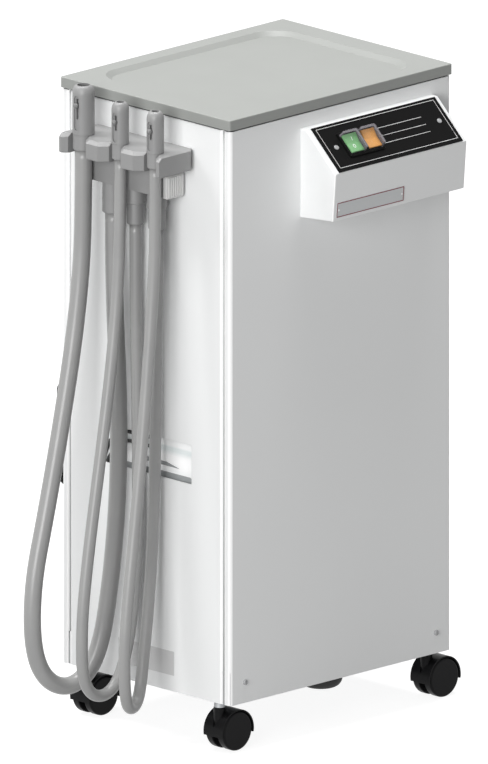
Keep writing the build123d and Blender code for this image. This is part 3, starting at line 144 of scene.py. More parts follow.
def hose_pvc():
    """Soft grey PVC, extruded: a satin skin, very slightly uneven, with a haze of handling."""
    material, tree, shader, place = new_material("extruded_pvc")
    haze = add_node(tree, "ShaderNodeTexNoise", inputs={
        "Vector": place, "Scale": per_metre(60), "Detail": 3})
    tint(tree, shader, haze.outputs["Fac"], "8F8F8F", "9E9E9D")
    skin = add_node(tree, "ShaderNodeTexNoise", inputs={
        "Vector": place, "Scale": per_metre(SKIN_MM), "Detail": 2})
    bump = add_node(tree, "ShaderNodeBump", inputs={
        "Height": skin.outputs["Fac"], "Strength": 0.12, "Distance": 0.0002})
    tree.links.new(bump.outputs["Normal"], shader.inputs["Normal"])
    shader.inputs["Roughness"].default_value = 0.3
    shader.inputs["IOR"].default_value = 1.53
    return material


def route_line(name, points):
    """Points read from a smooth NURBS line through the route's control points."""
    curve = bpy.data.curves.new(name, "CURVE")
    curve.dimensions = "3D"
    curve.resolution_u = 10
    spline = curve.splines.new("NURBS")
    spline.points.add(len(points) - 1)
    for target, point in zip(spline.points, points):
        target.co = (*point, 1)
    spline.order_u = 3
    spline.use_endpoint_u = True
    holder = bpy.data.objects.new(name, curve)
    bpy.context.collection.objects.link(holder)
    bpy.context.view_layer.update()
    mesh = bpy.data.meshes.new_from_object(holder)
    line = [vertex.co.copy() for vertex in mesh.vertices]
    bpy.data.objects.remove(holder)
    bpy.data.curves.remove(curve)
    bpy.data.meshes.remove(mesh)
    return line


def link_mesh(name, mesh, material, smooth=True):
    """Object of that mesh in the scene, with its material."""
    if smooth:
        mesh.polygons.foreach_set("use_smooth", [True] * len(mesh.polygons))
    mesh.materials.append(material)
    piece = bpy.data.objects.new(name, mesh)
    bpy.context.collection.objects.link(piece)
    return piece


def tube_mesh(name, line, radius):
    """Round tube along a line, closed at both ends, its rings carried along without twist."""
    form = bmesh.new()
    side = Vector((1, 0, 0))
    rings = []
    for index, point in enumerate(line):
        along = line[min(index + 1, len(line) - 1)] - line[max(index - 1, 0)]
        along.normalize()
        side = (side - along * side.dot(along)).normalized()
        across = along.cross(side)
        rings.append([form.verts.new(point + radius * (cos(a) * side + sin(a) * across))
                      for a in (2 * pi * step / TUBE_SIDES for step in range(TUBE_SIDES))])
    for ring, following in zip(rings, rings[1:]):
        for step in range(TUBE_SIDES):
            turn = (step + 1) % TUBE_SIDES
            form.faces.new((ring[step], ring[turn], following[turn], following[step]))
    form.faces.new(reversed(rings[0]))
    form.faces.new(rings[-1])
    mesh = bpy.data.meshes.new(name)
    form.to_mesh(mesh)
    form.free()
    return mesh


HOSE_PVC = hose_pvc()
for name, route in HOSE_ROUTES.items():
    points = [Vector((MIDDLE.x + x, PLATE_LOW.y - out, z)) for x, out, z in route]
    line = route_line(f"route_{name}", points)
    hose = link_mesh(f"hose_{name}", tube_mesh(f"hose_{name}", line, HOSE_DIAMETER[name] / 2),
                     HOSE_PVC)
    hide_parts(f"suction_hose_{name}")
    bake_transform(hose)

# Studio: a pale floor, a white surround and three lamps: one beside the camera on the hose side,
# whose shadows fall behind the hoses, one high on the left for the chamfers' gloss, one overhead.
HALF_FLOOR = 6
LAMP_AIM = Vector((0, 0, 0.45))
SURROUND_LIGHT = 0.2
FLOOR_LIFT = 0.88

scene = bpy.context.scene
scene.view_settings.view_transform = "Standard"


def seen_directly(tree):
    """1 where the camera, gloss or clear plastic shows the background, and 0 for its light."""
    rays = add_node(tree, "ShaderNodeLightPath").outputs
    gloss = add_node(tree, "ShaderNodeMath", {"operation": "MAXIMUM"}, {
        0: rays["Is Glossy Ray"], 1: rays["Is Transmission Ray"]})
    either = add_node(tree, "ShaderNodeMath", {"operation": "MAXIMUM"}, {
        0: rays["Is Camera Ray"], 1: gloss.outputs["Value"]})
    return either.outputs["Value"]


world = bpy.data.worlds.new("white_surround")
scene.world = world
world.use_nodes = True
surround = world.node_tree
strength = add_node(surround, "ShaderNodeMix", inputs={
    "Factor": seen_directly(surround), "A": SURROUND_LIGHT, "B": 1.0})
background = surround.nodes["Background"]
background.inputs["Color"].default_value = (1, 1, 1, 1)
surround.links.new(strength.outputs["Result"], background.inputs["Strength"])


def floor_paint():
    """Painted floor, lifted to the background's white, that keeps the object's shadow."""
    material, tree, shader, place = new_material("studio_floor_paint")
    worn = add_node(tree, "ShaderNodeTexNoise", inputs={"Vector": place, "Scale": 0.6})
    tint(tree, shader, worn.outputs["Fac"], "8E8E8E", "949494")
    shader.inputs["Roughness"].default_value = 1.0
    shader.inputs["Specular IOR Level"].default_value = 0.0
    glow = add_node(tree, "ShaderNodeEmission", inputs={"Color": (1, 1, 1, 1)})
    lift = add_node(tree, "ShaderNodeMath", {"operation": "MULTIPLY"}, {
        0: seen_directly(tree), 1: FLOOR_LIFT})
    tree.links.new(lift.outputs["Value"], glow.inputs["Strength"])
    both = add_node(tree, "ShaderNodeAddShader", inputs={
        0: shader.outputs["BSDF"], 1: glow.outputs["Emission"]})
    tree.links.new(both.outputs["Shader"], tree.nodes["Material Output"].inputs["Surface"])
    return material


def flat_mesh(name, corners):
    """One flat face through the corners."""
    mesh = bpy.data.meshes.new(name)
    mesh.from_pydata(corners, [], [range(len(corners))])
    return mesh


floor = link_mesh("floor", flat_mesh("floor", [
    (-HALF_FLOOR, -HALF_FLOOR, 0), (HALF_FLOOR, -HALF_FLOOR, 0),
    (HALF_FLOOR, HALF_FLOOR, 0), (-HALF_FLOOR, HALF_FLOOR, 0)]), floor_paint(), smooth=False)


def area_lamp(name, place, size, watts):
    """Broad soft lamp that faces the middle of the object."""
    light = bpy.data.lights.new(name, "AREA")
    light.shape = "SQUARE"
    light.size = size
    light.energy = watts
    lamp = bpy.data.objects.new(name, light)
    bpy.context.collection.objects.link(lamp)
    lamp.location = place
    lamp.rotation_euler = (Vector(place) - LAMP_AIM).to_track_quat("Z", "Y").to_euler()


area_lamp("hose_side_lamp", (3.35, -7.8, 2.3), size=4.4, watts=525)
area_lamp("high_left_lamp", (-3.9, -3.1, 7.1), size=2.0, watts=285)
area_lamp("overhead_lamp", (-0.2, 0.1, 7.0), size=3.0, watts=400)

# Cabinet panels: 1.2 mm steel sheet, folded at each corner and powder coated white. The coat
# is satin with a very fine orange peel, and it softens the sheet's cut edges.
ORANGE_PEEL_MM = 1.6


def powder_coat(name, dark, light):
    """Powder coat on steel: an even satin film, whose upright folds get a painted white
    highlight.
    """
    material, tree, shader, place = new_material(name)
    drift = add_node(tree, "ShaderNodeTexNoise", inputs={
        "Vector": place, "Scale": per_metre(300), "Detail": 2})
    tint(tree, shader, drift.outputs["Fac"], dark, light)
    flat_colour = shader.inputs["Base Color"].links[0].from_socket
    # Painted highlight: where the surface faces between x and y, on the upright folds, the colour
    # turns white.
    facing = add_node(tree, "ShaderNodeSeparateXYZ", inputs={
        "Vector": tree.nodes["Texture Coordinate"].outputs["Normal"]}).outputs
    turned = add_node(tree, "ShaderNodeMath", {"operation": "MULTIPLY"}, {
        0: facing["X"], 1: facing["Y"]})
    fold = add_node(tree, "ShaderNodeMath", {"operation": "ABSOLUTE"}, {
        0: turned.outputs["Value"]})
    fold_highlight = add_node(tree, "ShaderNodeMapRange", inputs={
        "Value": fold.outputs["Value"], "From Min": 0.08, "From Max": 0.25})
    coat = add_node(tree, "ShaderNodeMix", {"data_type": "RGBA"}, {
        "Factor": fold_highlight.outputs["Result"], "A": flat_colour, "B": linear("FFFFFF")})
    tree.links.new(coat.outputs["Result"], shader.inputs["Base Color"])
    peel = add_node(tree, "ShaderNodeTexNoise", inputs={
        "Vector": place, "Scale": per_metre(ORANGE_PEEL_MM), "Detail": 1})
    soft_edge = add_node(tree, "ShaderNodeBevel", {"samples": 4}, {"Radius": 0.0006})
    bump = add_node(tree, "ShaderNodeBump", inputs={
        "Height": peel.outputs["Fac"], "Strength": 0.05, "Distance": 0.0001,
        "Normal": soft_edge.outputs["Normal"]})
    tree.links.new(bump.outputs["Normal"], shader.inputs["Normal"])
    shader.inputs["Roughness"].default_value = 0.38
    shader.inputs["IOR"].default_value = 1.52
    return material


def dress(material, slot, *nodes):
    """Give CAD nodes that keep their shape a material."""
    for node in nodes:
        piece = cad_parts[node]
        piece.data.materials.clear()
        piece.data.materials.append(material)


WHITE_COAT = powder_coat("white_powder_coat", "ECEDED", "F0F1F1")
dress(WHITE_COAT, "white_steel", "front_panel", "back_panel", "left_side_panel",
      "right_side_panel")

# Gap seals: a soft grey PVC bead pressed into each upright joint between the front panel and a
# side panel, level with the bottom of the two folds.
FRONT_LOW, FRONT_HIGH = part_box("front_panel")
GAP_HALF = 0.00035
BEAD_R = 0.0012
BEAD_IN = 0.0023
BEAD_SHORT = 0.0005
BEAD_MIDDLE_Z = 0.4


def seal_pvc():
    """Extruded seal PVC: matt mid grey with a slight bloom."""
    material, tree, shader, place = new_material("seal_bead_pvc")
    bloom = add_node(tree, "ShaderNodeTexNoise", inputs={
        "Vector": place, "Scale": per_metre(30), "Detail": 2})
    tint(tree, shader, bloom.outputs["Fac"], "B0B1B1", "B8B9B9")
    shader.inputs["Roughness"].default_value = 0.6
    return material


SEAL_PVC = seal_pvc()
for name, x in (("left", FRONT_LOW.x - GAP_HALF), ("right", FRONT_HIGH.x + GAP_HALF)):
    bead_line = [Vector((x, FRONT_LOW.y + BEAD_IN, z))
                 for z in (FRONT_LOW.z + BEAD_SHORT, BEAD_MIDDLE_Z,
                           FRONT_HIGH.z - BEAD_SHORT)]
    bead = link_mesh(f"gap_seal_{name}", tube_mesh(f"gap_seal_{name}", bead_line, BEAD_R),
                     SEAL_PVC)
    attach(bead, "cabinet")

# Chassis pan, frame, castor stems and nuts: galvanised steel with a spangle of crystals. The pan
# and the frame are mostly hidden behind the panels, and the stems show under the skirt.
SPANGLE_MM = 9.0


def zinc_plate():
    """Galvanised steel: dull silver crystals a few millimetres across."""
    material, tree, shader, place = new_material("galvanised_steel")
    spangle = add_node(tree, "ShaderNodeTexVoronoi", inputs={
        "Vector": place, "Scale": per_metre(SPANGLE_MM)})
    shade = add_node(tree, "ShaderNodeSeparateColor", inputs={
        "Color": spangle.outputs["Color"]})
    tint(tree, shader, shade.outputs["Red"], "8F9193", "A9ABAD")
    shader.inputs["Metallic"].default_value = 1.0
    shader.inputs["Roughness"].default_value = 0.45
    return material


dress(zinc_plate(), "zinc_steel", "chassis_pan", "inner_frame", "castor_stems", "castor_nuts")

# Top plate: a thick grey ABS moulding with a shallow tray, laid over the panels. Its fine leather
# grain is drawn as coarse as it needs to show.
TOP_GRAIN_MM = 0.9


def grained_moulding(name, dark, light, grain_mm, roughness):
    """Moulded ABS or PVC: a fine even grain that keeps highlights broad and soft."""
    material, tree, shader, place = new_material(name)
    flow = add_node(tree, "ShaderNodeTexNoise", inputs={
        "Vector": place, "Scale": per_metre(90), "Detail": 3})
    tint(tree, shader, flow.outputs["Fac"], dark, light)
    grain = add_node(tree, "ShaderNodeTexNoise", inputs={
        "Vector": place, "Scale": per_metre(grain_mm), "Detail": 1})
    soft_edge = add_node(tree, "ShaderNodeBevel", {"samples": 4}, {"Radius": 0.0004})
    bump = add_node(tree, "ShaderNodeBump", inputs={
        "Height": grain.outputs["Fac"], "Strength": 0.15, "Distance": 0.0001,
        "Normal": soft_edge.outputs["Normal"]})
    tree.links.new(bump.outputs["Normal"], shader.inputs["Normal"])
    shader.inputs["Roughness"].default_value = roughness
    shader.inputs["IOR"].default_value = 1.53
    return material


dress(grained_moulding("grained_grey_abs", "8F918E", "959794", TOP_GRAIN_MM, 0.5),
      "top_grey", "top_plate")

# Forked holder, manifold, cuffs and handpieces: darker grey ABS mouldings with a smoother
# spark-eroded face, as the jar's lid and the pipes have. The valve knobs are darker and polished,
# and the filter's cap is pale.
ERODED_GRAIN_MM = 0.7
GREY_ABS = grained_moulding("eroded_grey_abs", "888888", "909090", ERODED_GRAIN_MM, 0.42)
dress(GREY_ABS, "grey_moulding", "hose_holder", "suction_manifold", "large_hose_cuff",
      "small_hose_cuffs", "jar_lid", "jar_pipe", "turbine_pipe")
KNOB_ABS = grained_moulding("polished_knob_abs", "6A6A6A", "727272", ERODED_GRAIN_MM, 0.3)
for name in HOSE_ROUTES:
    dress(GREY_ABS, "grey_moulding", f"handpiece_{name}")
    dress(KNOB_ABS, "grey_moulding", f"valve_knob_{name}")
dress(grained_moulding("pale_cap_abs", "C6C6C5", "CECECD", ERODED_GRAIN_MM, 0.4),
      "light_cap", "filter_cap")

# Console: folded and welded steel, coated with the panels. Its slanted face carries a black
# acrylic fascia, held by two plated screws and printed with plain lines.
SHELL_LOW, SHELL_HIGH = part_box("console_shell")
SHELL_TOP_W = 0.010
SLANT_TOP = Vector((SHELL_LOW.x + SHELL_TOP_W, SHELL_LOW.y, SHELL_HIGH.z))
SLANT_DOWN = Vector((0.052, 0, -0.048))
SLANT_LENGTH = SLANT_DOWN.length
SLANT_OUT = Vector((0.048, 0, 0.052)).normalized()
ALONG_SIDE = Vector((0, 1, 0))
dress(WHITE_COAT, "white_steel", "console_shell")


def glossy_plastic(name, dark, light, roughness, gloss=0.5):
    """Cast or moulded plastic: a deep, nearly even colour under a glossy face."""
    material, tree, shader, place = new_material(name)
    depth = add_node(tree, "ShaderNodeTexNoise", inputs={
        "Vector": place, "Scale": per_metre(40), "Detail": 4})
    tint(tree, shader, depth.outputs["Fac"], dark, light)
    shader.inputs["Roughness"].default_value = roughness
    shader.inputs["IOR"].default_value = 1.49
    shader.inputs["Specular IOR Level"].default_value = gloss
    return material


dress(glossy_plastic("black_acrylic", "101010", "141414", 0.3, gloss=0.05), "black_plastic",
      "fascia_plate", "switch_bezel", "mains_inlet", "side_grip", "drain_spigot")


def dull_plate():
    """Zinc plate gone dull: a flat grey in fine patches, with little gloss."""
    material, tree, shader, place = new_material("dull_zinc_plate")
    patches = add_node(tree, "ShaderNodeTexNoise", inputs={
        "Vector": place, "Scale": per_metre(1.5), "Detail": 2})
    tint(tree, shader, patches.outputs["Fac"], "9A9B9C", "ACADAE")
    shader.inputs["Metallic"].default_value = 0.5
    shader.inputs["Roughness"].default_value = 0.55
    return material


dress(dull_plate(), "steel_bright", "panel_screws", "fascia_screws")

# Rocker switches: polished polycarbonate, a green one and an orange one, each under a clear
# splash cap on the black bezel. Distances run along the console and down its slant.
ROCKER_PITCH = 0.031
CAP_NEAR = 0.03975
CAP_CLEAR_TO = 0.0218
CAP_TOP_WALL = 0.0240
CAP_CLEAR = 0.03
CAP_WALL_SHADE = 0.6
dress(glossy_plastic("green_polycarbonate", "7AB57A", "85BF85", 0.2), "green_lens",
      "power_rocker")
dress(glossy_plastic("orange_polycarbonate", "E09E55", "E8AA62", 0.2), "orange_lens",
      "suction_rocker")


def splash_cap_pvc():
    """Clear cap moulding: its face and near wall show the rocker, and the far and top walls are
    painted grey and half opaque as painted shade.
    """
    material, tree, shader, place = new_material("clear_cap_pvc")
    haze = add_node(tree, "ShaderNodeTexNoise", inputs={"Vector": place, "Scale": per_metre(8)})
    tint(tree, shader, haze.outputs["Fac"], "7E7B80", "8C898D")
    spot = add_node(tree, "ShaderNodeVectorMath", {"operation": "SUBTRACT"}, {
        0: add_node(tree, "ShaderNodeNewGeometry").outputs["Position"], 1: SLANT_TOP})
    along = add_node(tree, "ShaderNodeVectorMath", {"operation": "DOT_PRODUCT"}, {
        0: spot.outputs["Vector"], 1: ALONG_SIDE})
    down = add_node(tree, "ShaderNodeVectorMath", {"operation": "DOT_PRODUCT"}, {
        0: spot.outputs["Vector"], 1: SLANT_DOWN.normalized()})
    in_pitch = add_node(tree, "ShaderNodeMath", {"operation": "WRAP"}, {
        0: along.outputs["Value"], 1: CAP_NEAR, 2: CAP_NEAR + ROCKER_PITCH})
    # Painted shade: the walls behind the rocker, far and top, are drawn grey and half opaque.
    far_wall = add_node(tree, "ShaderNodeMath", {"operation": "GREATER_THAN"}, {
        0: in_pitch.outputs["Value"], 1: CAP_NEAR + CAP_CLEAR_TO})
    top_wall = add_node(tree, "ShaderNodeMath", {"operation": "LESS_THAN"}, {
        0: down.outputs["Value"], 1: CAP_TOP_WALL})
    wall = add_node(tree, "ShaderNodeMath", {"operation": "MAXIMUM"}, {
        0: far_wall.outputs["Value"], 1: top_wall.outputs["Value"]})
    cover = add_node(tree, "ShaderNodeMapRange", inputs={
        "Value": wall.outputs["Value"], "To Min": CAP_CLEAR, "To Max": CAP_WALL_SHADE})
    tree.links.new(cover.outputs["Result"], shader.inputs["Alpha"])
    shader.inputs["Roughness"].default_value = 0.25
    return material


dress(splash_cap_pvc(), "clear_plastic", "rocker_caps")

# Fascia printing: a fine white border and three lines that lead away from the switches, screen
# printed. Printing and plates are drawn as flat loops on their surface's own plane, with x along
# the surface, y up it and z out of it, and get a real thickness.
INK_T = 0.00008
BORDER_LINE = 0.0005
BORDER_IN = 0.0052
BORDER_TOP = 0.0036
LINES_DOWN = (0.0235, 0.035, 0.046)
LINES_FROM = 0.101
LINES_TO = 0.183
BORDER_CORNER = 0.0006
INNER_CORNER = 0.0003
LINE_CORNER = 0.0002
FASCIA_FACE = 0.0015
FASCIA_IN = 0.007
FASCIA_SHORT = 0.001
CONSOLE_LENGTH = SHELL_HIGH.y - SHELL_LOW.y


def surface_plane(corner, along, up):
    """Matrix of a plane with its x along the surface and its y up the surface."""
    along, up = along.normalized(), up.normalized()
    plane = Matrix((along, up, along.cross(up))).transposed().to_4x4()
    plane.translation = corner
    return plane


def rounded_loop(low, high, corner):
    """Rectangle between two corners of the plane, its own corners rounded."""
    loop = []
    for x, y, first in ((high[0], high[1], 0), (low[0], high[1], 90), (low[0], low[1], 180),
                        (high[0], low[1], 270)):
        centre_x = x - corner if x == high[0] else x + corner
        centre_y = y - corner if y == high[1] else y + corner
        loop += [(centre_x + corner * cos(radians(first + turn)),
                  centre_y + corner * sin(radians(first + turn))) for turn in range(0, 91, 18)]
    return loop


def plate_on(plane, name, loops, thickness, material, body="cabinet", edge=0.0):
    """Thin plate of flat loops, a loop inside another being a hole. It rides on a body."""
    curve = bpy.data.curves.new(name, "CURVE")
    curve.dimensions = "2D"
    curve.fill_mode = "BOTH"
    curve.extrude = thickness / 2 - edge
    curve.bevel_depth = edge
    curve.bevel_resolution = 2
    curve.offset = -edge
    for loop in loops:
        spline = curve.splines.new("POLY")
        spline.points.add(len(loop) - 1)
        spline.use_cyclic_u = True
        for target, (x, y) in zip(spline.points, loop):
            target.co = (x, y, 0, 1)
    holder = bpy.data.objects.new(name, curve)
    bpy.context.collection.objects.link(holder)
    bpy.context.view_layer.update()
    mesh = bpy.data.meshes.new_from_object(holder)
    bpy.data.objects.remove(holder)
    bpy.data.curves.remove(curve)
    mesh.transform(plane @ Matrix.Translation((0, 0, thickness / 2)))
    piece = link_mesh(name, mesh, material, smooth=False)
    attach(piece, body)
    return piece


def printing_ink(name, code, thin):
    """Screen-printed ink: a matt film that covers evenly, a touch thinner in patches."""
    material, tree, shader, place = new_material(name)
    film = add_node(tree, "ShaderNodeTexNoise", inputs={
        "Vector": place, "Scale": per_metre(6), "Detail": 2})
    tint(tree, shader, film.outputs["Fac"], code, thin)
    shader.inputs["Roughness"].default_value = 0.6
    return material


slant = surface_plane(SLANT_TOP, ALONG_SIDE, -SLANT_DOWN)
fascia_face = surface_plane(SLANT_TOP + FASCIA_FACE * SLANT_OUT, ALONG_SIDE, -SLANT_DOWN)
border_low = (FASCIA_IN + BORDER_IN, -SLANT_LENGTH + FASCIA_SHORT + BORDER_IN)
border_high = (CONSOLE_LENGTH - FASCIA_IN - BORDER_IN, -FASCIA_SHORT - BORDER_TOP)
inner_low = tuple(value + BORDER_LINE for value in border_low)
inner_high = tuple(value - BORDER_LINE for value in border_high)
ink_loops = [rounded_loop(border_low, border_high, BORDER_CORNER),
             rounded_loop(inner_low, inner_high, INNER_CORNER)]
for down in LINES_DOWN:
    ink_loops.append(rounded_loop((LINES_FROM, -down - BORDER_LINE / 2),
                                  (LINES_TO, -down + BORDER_LINE / 2), LINE_CORNER))
WHITE_INK = printing_ink("screen_ink_white", "E4E4E4", "FAFAFA")
fascia_print = plate_on(fascia_face, "fascia_print", ink_loops, INK_T, WHITE_INK)

# Switch marks: a bar for on at the rocker's upper end and a ring for off at its lower end.
# They ride on the green rocker, on its two faces, of which the upper one is tilted.
ROCKER_FOLD = (0.0528, -0.0361)
LOWER_FACE = 0.00479
UPPER_TILT = radians(14)
OFF_PLACE = (-0.001, -0.0046, 0)
OFF_RADII = (0.0021, 0.0028)
OFF_INNER = (0.64, 0.72)
OFF_STEPS = 24
ON_PLACE = (0.0005, 0.0058, 0)
ON_HALF = (0.0004, 0.0026)
ON_CORNER = 0.0003


def oval_loop(centre, radii, steps):
    """Closed loop round a centre, wider one way where its two radii differ."""
    return [(centre[0] + radii[0] * cos(turn), centre[1] + radii[1] * sin(turn))
            for turn in (2 * pi * step / steps for step in range(steps))]


ring_outer = oval_loop((0, 0), OFF_RADII, OFF_STEPS)
ring_inner = [(x * OFF_INNER[0], y * OFF_INNER[1]) for x, y in ring_outer]
on_bar = rounded_loop((-ON_HALF[0], -ON_HALF[1]), ON_HALF, ON_CORNER)
lower_face = slant @ Matrix.Translation((*ROCKER_FOLD, LOWER_FACE))
upper_face = lower_face @ Matrix.Rotation(UPPER_TILT, 4, "X")
off_mark = plate_on(lower_face @ Matrix.Translation(OFF_PLACE), "switch_off_mark",
                    [ring_outer, ring_inner], INK_T, WHITE_INK, body="power_switch")
on_mark = plate_on(upper_face @ Matrix.Translation(ON_PLACE), "switch_on_mark", [on_bar],
                   INK_T, WHITE_INK, body="power_switch")

# Name plate on the console's front: bare brushed aluminium with a dark red line printed round its
# edge, held by two pressed rivets.
NAME_PLATE_NEAR = 0.0052
NAME_PLATE_LENGTH = 0.1175
NAME_PLATE_H = 0.0195
NAME_PLATE_UP = 0.0045
NAME_PLATE_T = 0.0008
PLATE_CORNER = 0.0012
PLATE_EDGE = 0.0002
LINE_IN = 0.0003
RED_LINE = 0.0011
FRONT_OUT = 0.057
FRONT_DOWN = 0.110
RAKE = Vector((0.005, 0, 0.062))
RIVET_R = 0.0014
RIVET_IN = 0.0036
RIVET_HEAD = 0.0005
RIVET_STEPS = 20


def brushed_aluminium(name, dark, light):
    """Aluminium, brushed or drawn along its length: soft grey with drawn-out streaks."""
    material, tree, shader, place = new_material(name)
    stretch = add_node(tree, "ShaderNodeMapping", inputs={"Vector": place})
    stretch.inputs["Scale"].default_value = (1, 0.03, 1)
    brush = add_node(tree, "ShaderNodeTexNoise", inputs={
        "Vector": stretch.outputs["Vector"], "Scale": per_metre(0.8), "Detail": 2})
    tint(tree, shader, brush.outputs["Fac"], dark, light)
    shader.inputs["Metallic"].default_value = 0.15
    shader.inputs["Roughness"].default_value = 0.5
    return material


face_foot = Vector((SHELL_LOW.x + FRONT_OUT, SHELL_LOW.y, SHELL_HIGH.z - FRONT_DOWN))
console_face = surface_plane(face_foot, ALONG_SIDE, RAKE)
plate_low = (NAME_PLATE_NEAR, NAME_PLATE_UP)
plate_high = (NAME_PLATE_NEAR + NAME_PLATE_LENGTH, NAME_PLATE_UP + NAME_PLATE_H)
plate_middle = (plate_low[1] + plate_high[1]) / 2
name_plate = plate_on(console_face, "name_plate",
                      [rounded_loop(plate_low, plate_high, PLATE_CORNER)], NAME_PLATE_T,
                      brushed_aluminium("brushed_aluminium", "BDBFC0", "C8CACB"),
                      edge=PLATE_EDGE)
line_out = (tuple(v + LINE_IN for v in plate_low), tuple(v - LINE_IN for v in plate_high))
line_in = (tuple(v + RED_LINE for v in line_out[0]), tuple(v - RED_LINE for v in line_out[1]))
red_loops = [rounded_loop(*line_out, PLATE_CORNER - LINE_IN), rounded_loop(*line_in, LINE_IN)]
plate_face = console_face @ Matrix.Translation((0, 0, NAME_PLATE_T))
name_plate_line = plate_on(plate_face, "name_plate_line", red_loops, INK_T,
                           printing_ink("screen_ink_red", "6B1A26", "76202D"))
rivet_aluminium = brushed_aluminium("pressed_rivet_aluminium", "E0E1E2", "F4F5F6")
for name, x in (("near", plate_low[0] + RIVET_IN), ("far", plate_high[0] - RIVET_IN)):
    rivet_edge = oval_loop((x, plate_middle), (RIVET_R, RIVET_R), RIVET_STEPS)
    rivet = plate_on(plate_face, f"name_plate_rivet_{name}", [rivet_edge], RIVET_HEAD,
                     rivet_aluminium, edge=PLATE_EDGE)

# Panel feet: below the chassis pan's top the front panel's folds are cut back to clear the pan,
# and a small white filler carries each fold's face down to the panel's foot.
PAN_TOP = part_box("chassis_pan")[1].z
FOOT_W = 0.003
FOOT_IN = 0.0012
FOOT_T = 0.0004
FOOT_RISE = 0.0025
FOOT_CORNER = 0.0002
RIGHTWARDS = Vector((1, 0, 0))
UPWARDS = Vector((0, 0, 1))

panel_face = surface_plane(Vector((0, FRONT_LOW.y, 0)), RIGHTWARDS, UPWARDS)
for name, x in (("left", FRONT_LOW.x), ("right", FRONT_HIGH.x - FOOT_W)):
    foot_loop = rounded_loop((x, FRONT_LOW.z), (x + FOOT_W, PAN_TOP + FOOT_RISE), FOOT_CORNER)
    foot = plate_on(panel_face @ Matrix.Translation((0, 0, -FOOT_IN)), f"panel_foot_{name}",
                    [foot_loop], FOOT_T, WHITE_COAT)

# Data plate low on the front panel: bare grey anodised aluminium sheet with rounded corners,
# glued to the powder coat.
DATA_LOW = (-0.0485, 0.0855)
DATA_HIGH = (0.05, 0.1164)
DATA_CORNER = 0.0008
DATA_T = 0.0006
DATA_EDGE = 0.00015

front_face = surface_plane(Vector((MIDDLE.x, FRONT_LOW.y, 0)), RIGHTWARDS, UPWARDS)
data_plate = plate_on(front_face, "data_plate", [rounded_loop(DATA_LOW, DATA_HIGH, DATA_CORNER)],
                      DATA_T, brushed_aluminium("anodised_sheet", "CACACA", "D0D0D0"),
                      edge=DATA_EDGE)

# Level window: a white acrylic pane close behind the opening, with a grey seal along its sill and
# a loose flap of the same seal above it. The jar's double wire bail lies in front of them.
# The pane's level bands and its faint glow are painted light and shade.
PANE_BACK = 0.0088
PANE_T = 0.002
PANE_LOW = (-0.0865, 0.331)
PANE_HIGH = (0.0865, 0.396)
PANE_CORNER = 0.002
PANE_EDGE = 0.0003
WINDOW_SILL = 0.338
PAINTED_BANDS_H = 0.05
SEAL_LEFT = -0.085
SEAL_RIGHT = 0.079
SEAL_TAPER = 0.007
SEAL_DROP = 0.004
SEAL_H = 0.0058
SEAL_T = 0.0006


def acrylic_with_painted_light():
    """White acrylic painted with soft level bands of light and shade, and with a faint glow that
    is painted light.
    """
    material, tree, shader, place = new_material("white_acrylic")
    height = add_node(tree, "ShaderNodeSeparateXYZ", inputs={"Vector": place}).outputs["Z"]
    along = add_node(tree, "ShaderNodeMapRange", inputs={
        "Value": height, "From Min": WINDOW_SILL, "From Max": WINDOW_SILL + PAINTED_BANDS_H})
    bands = add_node(tree, "ShaderNodeValToRGB", inputs={"Fac": along.outputs["Result"]})
    stops = bands.color_ramp.elements
    for place_up, code in ((0.2, "F6F7F7"), (0.3, "FFFFFF"), (0.52, "FFFFFF"), (0.6, "F2F4F4"),
                           (0.68, "E2E8E8"), (0.76, "E2E8E8"), (0.82, "F9FAFA")):
        stops.new(place_up).color = linear(code)
    stops[0].color = linear("F0F1F1")
    stops[-1].color = linear("EDEEEE")
    tree.links.new(bands.outputs["Color"], shader.inputs["Base Color"])
    # Painted light: the pane glows faintly in its band colours.
    tree.links.new(bands.outputs["Color"], shader.inputs["Emission Color"])
    shader.inputs["Emission Strength"].default_value = 0.12
    shader.inputs["Roughness"].default_value = 0.2
    return material


pane = plate_on(front_face @ Matrix.Translation((0, 0, -PANE_BACK)), "level_pane",
                [rounded_loop(PANE_LOW, PANE_HIGH, PANE_CORNER)], PANE_T, acrylic_with_painted_light(),
                edge=PANE_EDGE)
sill_strip = [(SEAL_LEFT, WINDOW_SILL - SEAL_DROP), (SEAL_RIGHT, WINDOW_SILL - SEAL_DROP),
              (SEAL_RIGHT, WINDOW_SILL), (SEAL_RIGHT - SEAL_TAPER, WINDOW_SILL + SEAL_H),
              (SEAL_LEFT, WINDOW_SILL + SEAL_H)]
upper_flap = [(x, WINDOW_SILL + up) for x, up in (
    (-0.03, 0.0135), (0.052, 0.0135), (0.03, 0.0185), (-0.03, 0.0195))]
seal = plate_on(front_face @ Matrix.Translation((0, 0, -PANE_BACK + PANE_T)), "window_seal",
                [sill_strip, upper_flap], SEAL_T,
                grained_moulding("seal_pvc", "9DA0A1", "A4A7A8", ERODED_GRAIN_MM, 0.5))

# Collection jar and filter basket: a clear moulded tub behind the level window, with two rubber
# straps round its rim, and a slotted tube in the manifold.


def clear_plastic(name, colour, roughness):
    """Clear moulded plastic: faintly tinted, with a soft gloss."""
    material, tree, shader, place = new_material(name)
    streaks = add_node(tree, "ShaderNodeTexNoise", inputs={
        "Vector": place, "Scale": per_metre(25), "Detail": 2})
    tint(tree, shader, streaks.outputs["Fac"], colour, "FFFFFF")
    shader.inputs["Transmission Weight"].default_value = 1.0
    shader.inputs["Roughness"].default_value = roughness
    shader.inputs["IOR"].default_value = 1.45
    return material


dress(clear_plastic("clear_jar_styrene", "DDE6EC", 0.08), "clear_plastic", "collection_jar",
      "filter_basket")


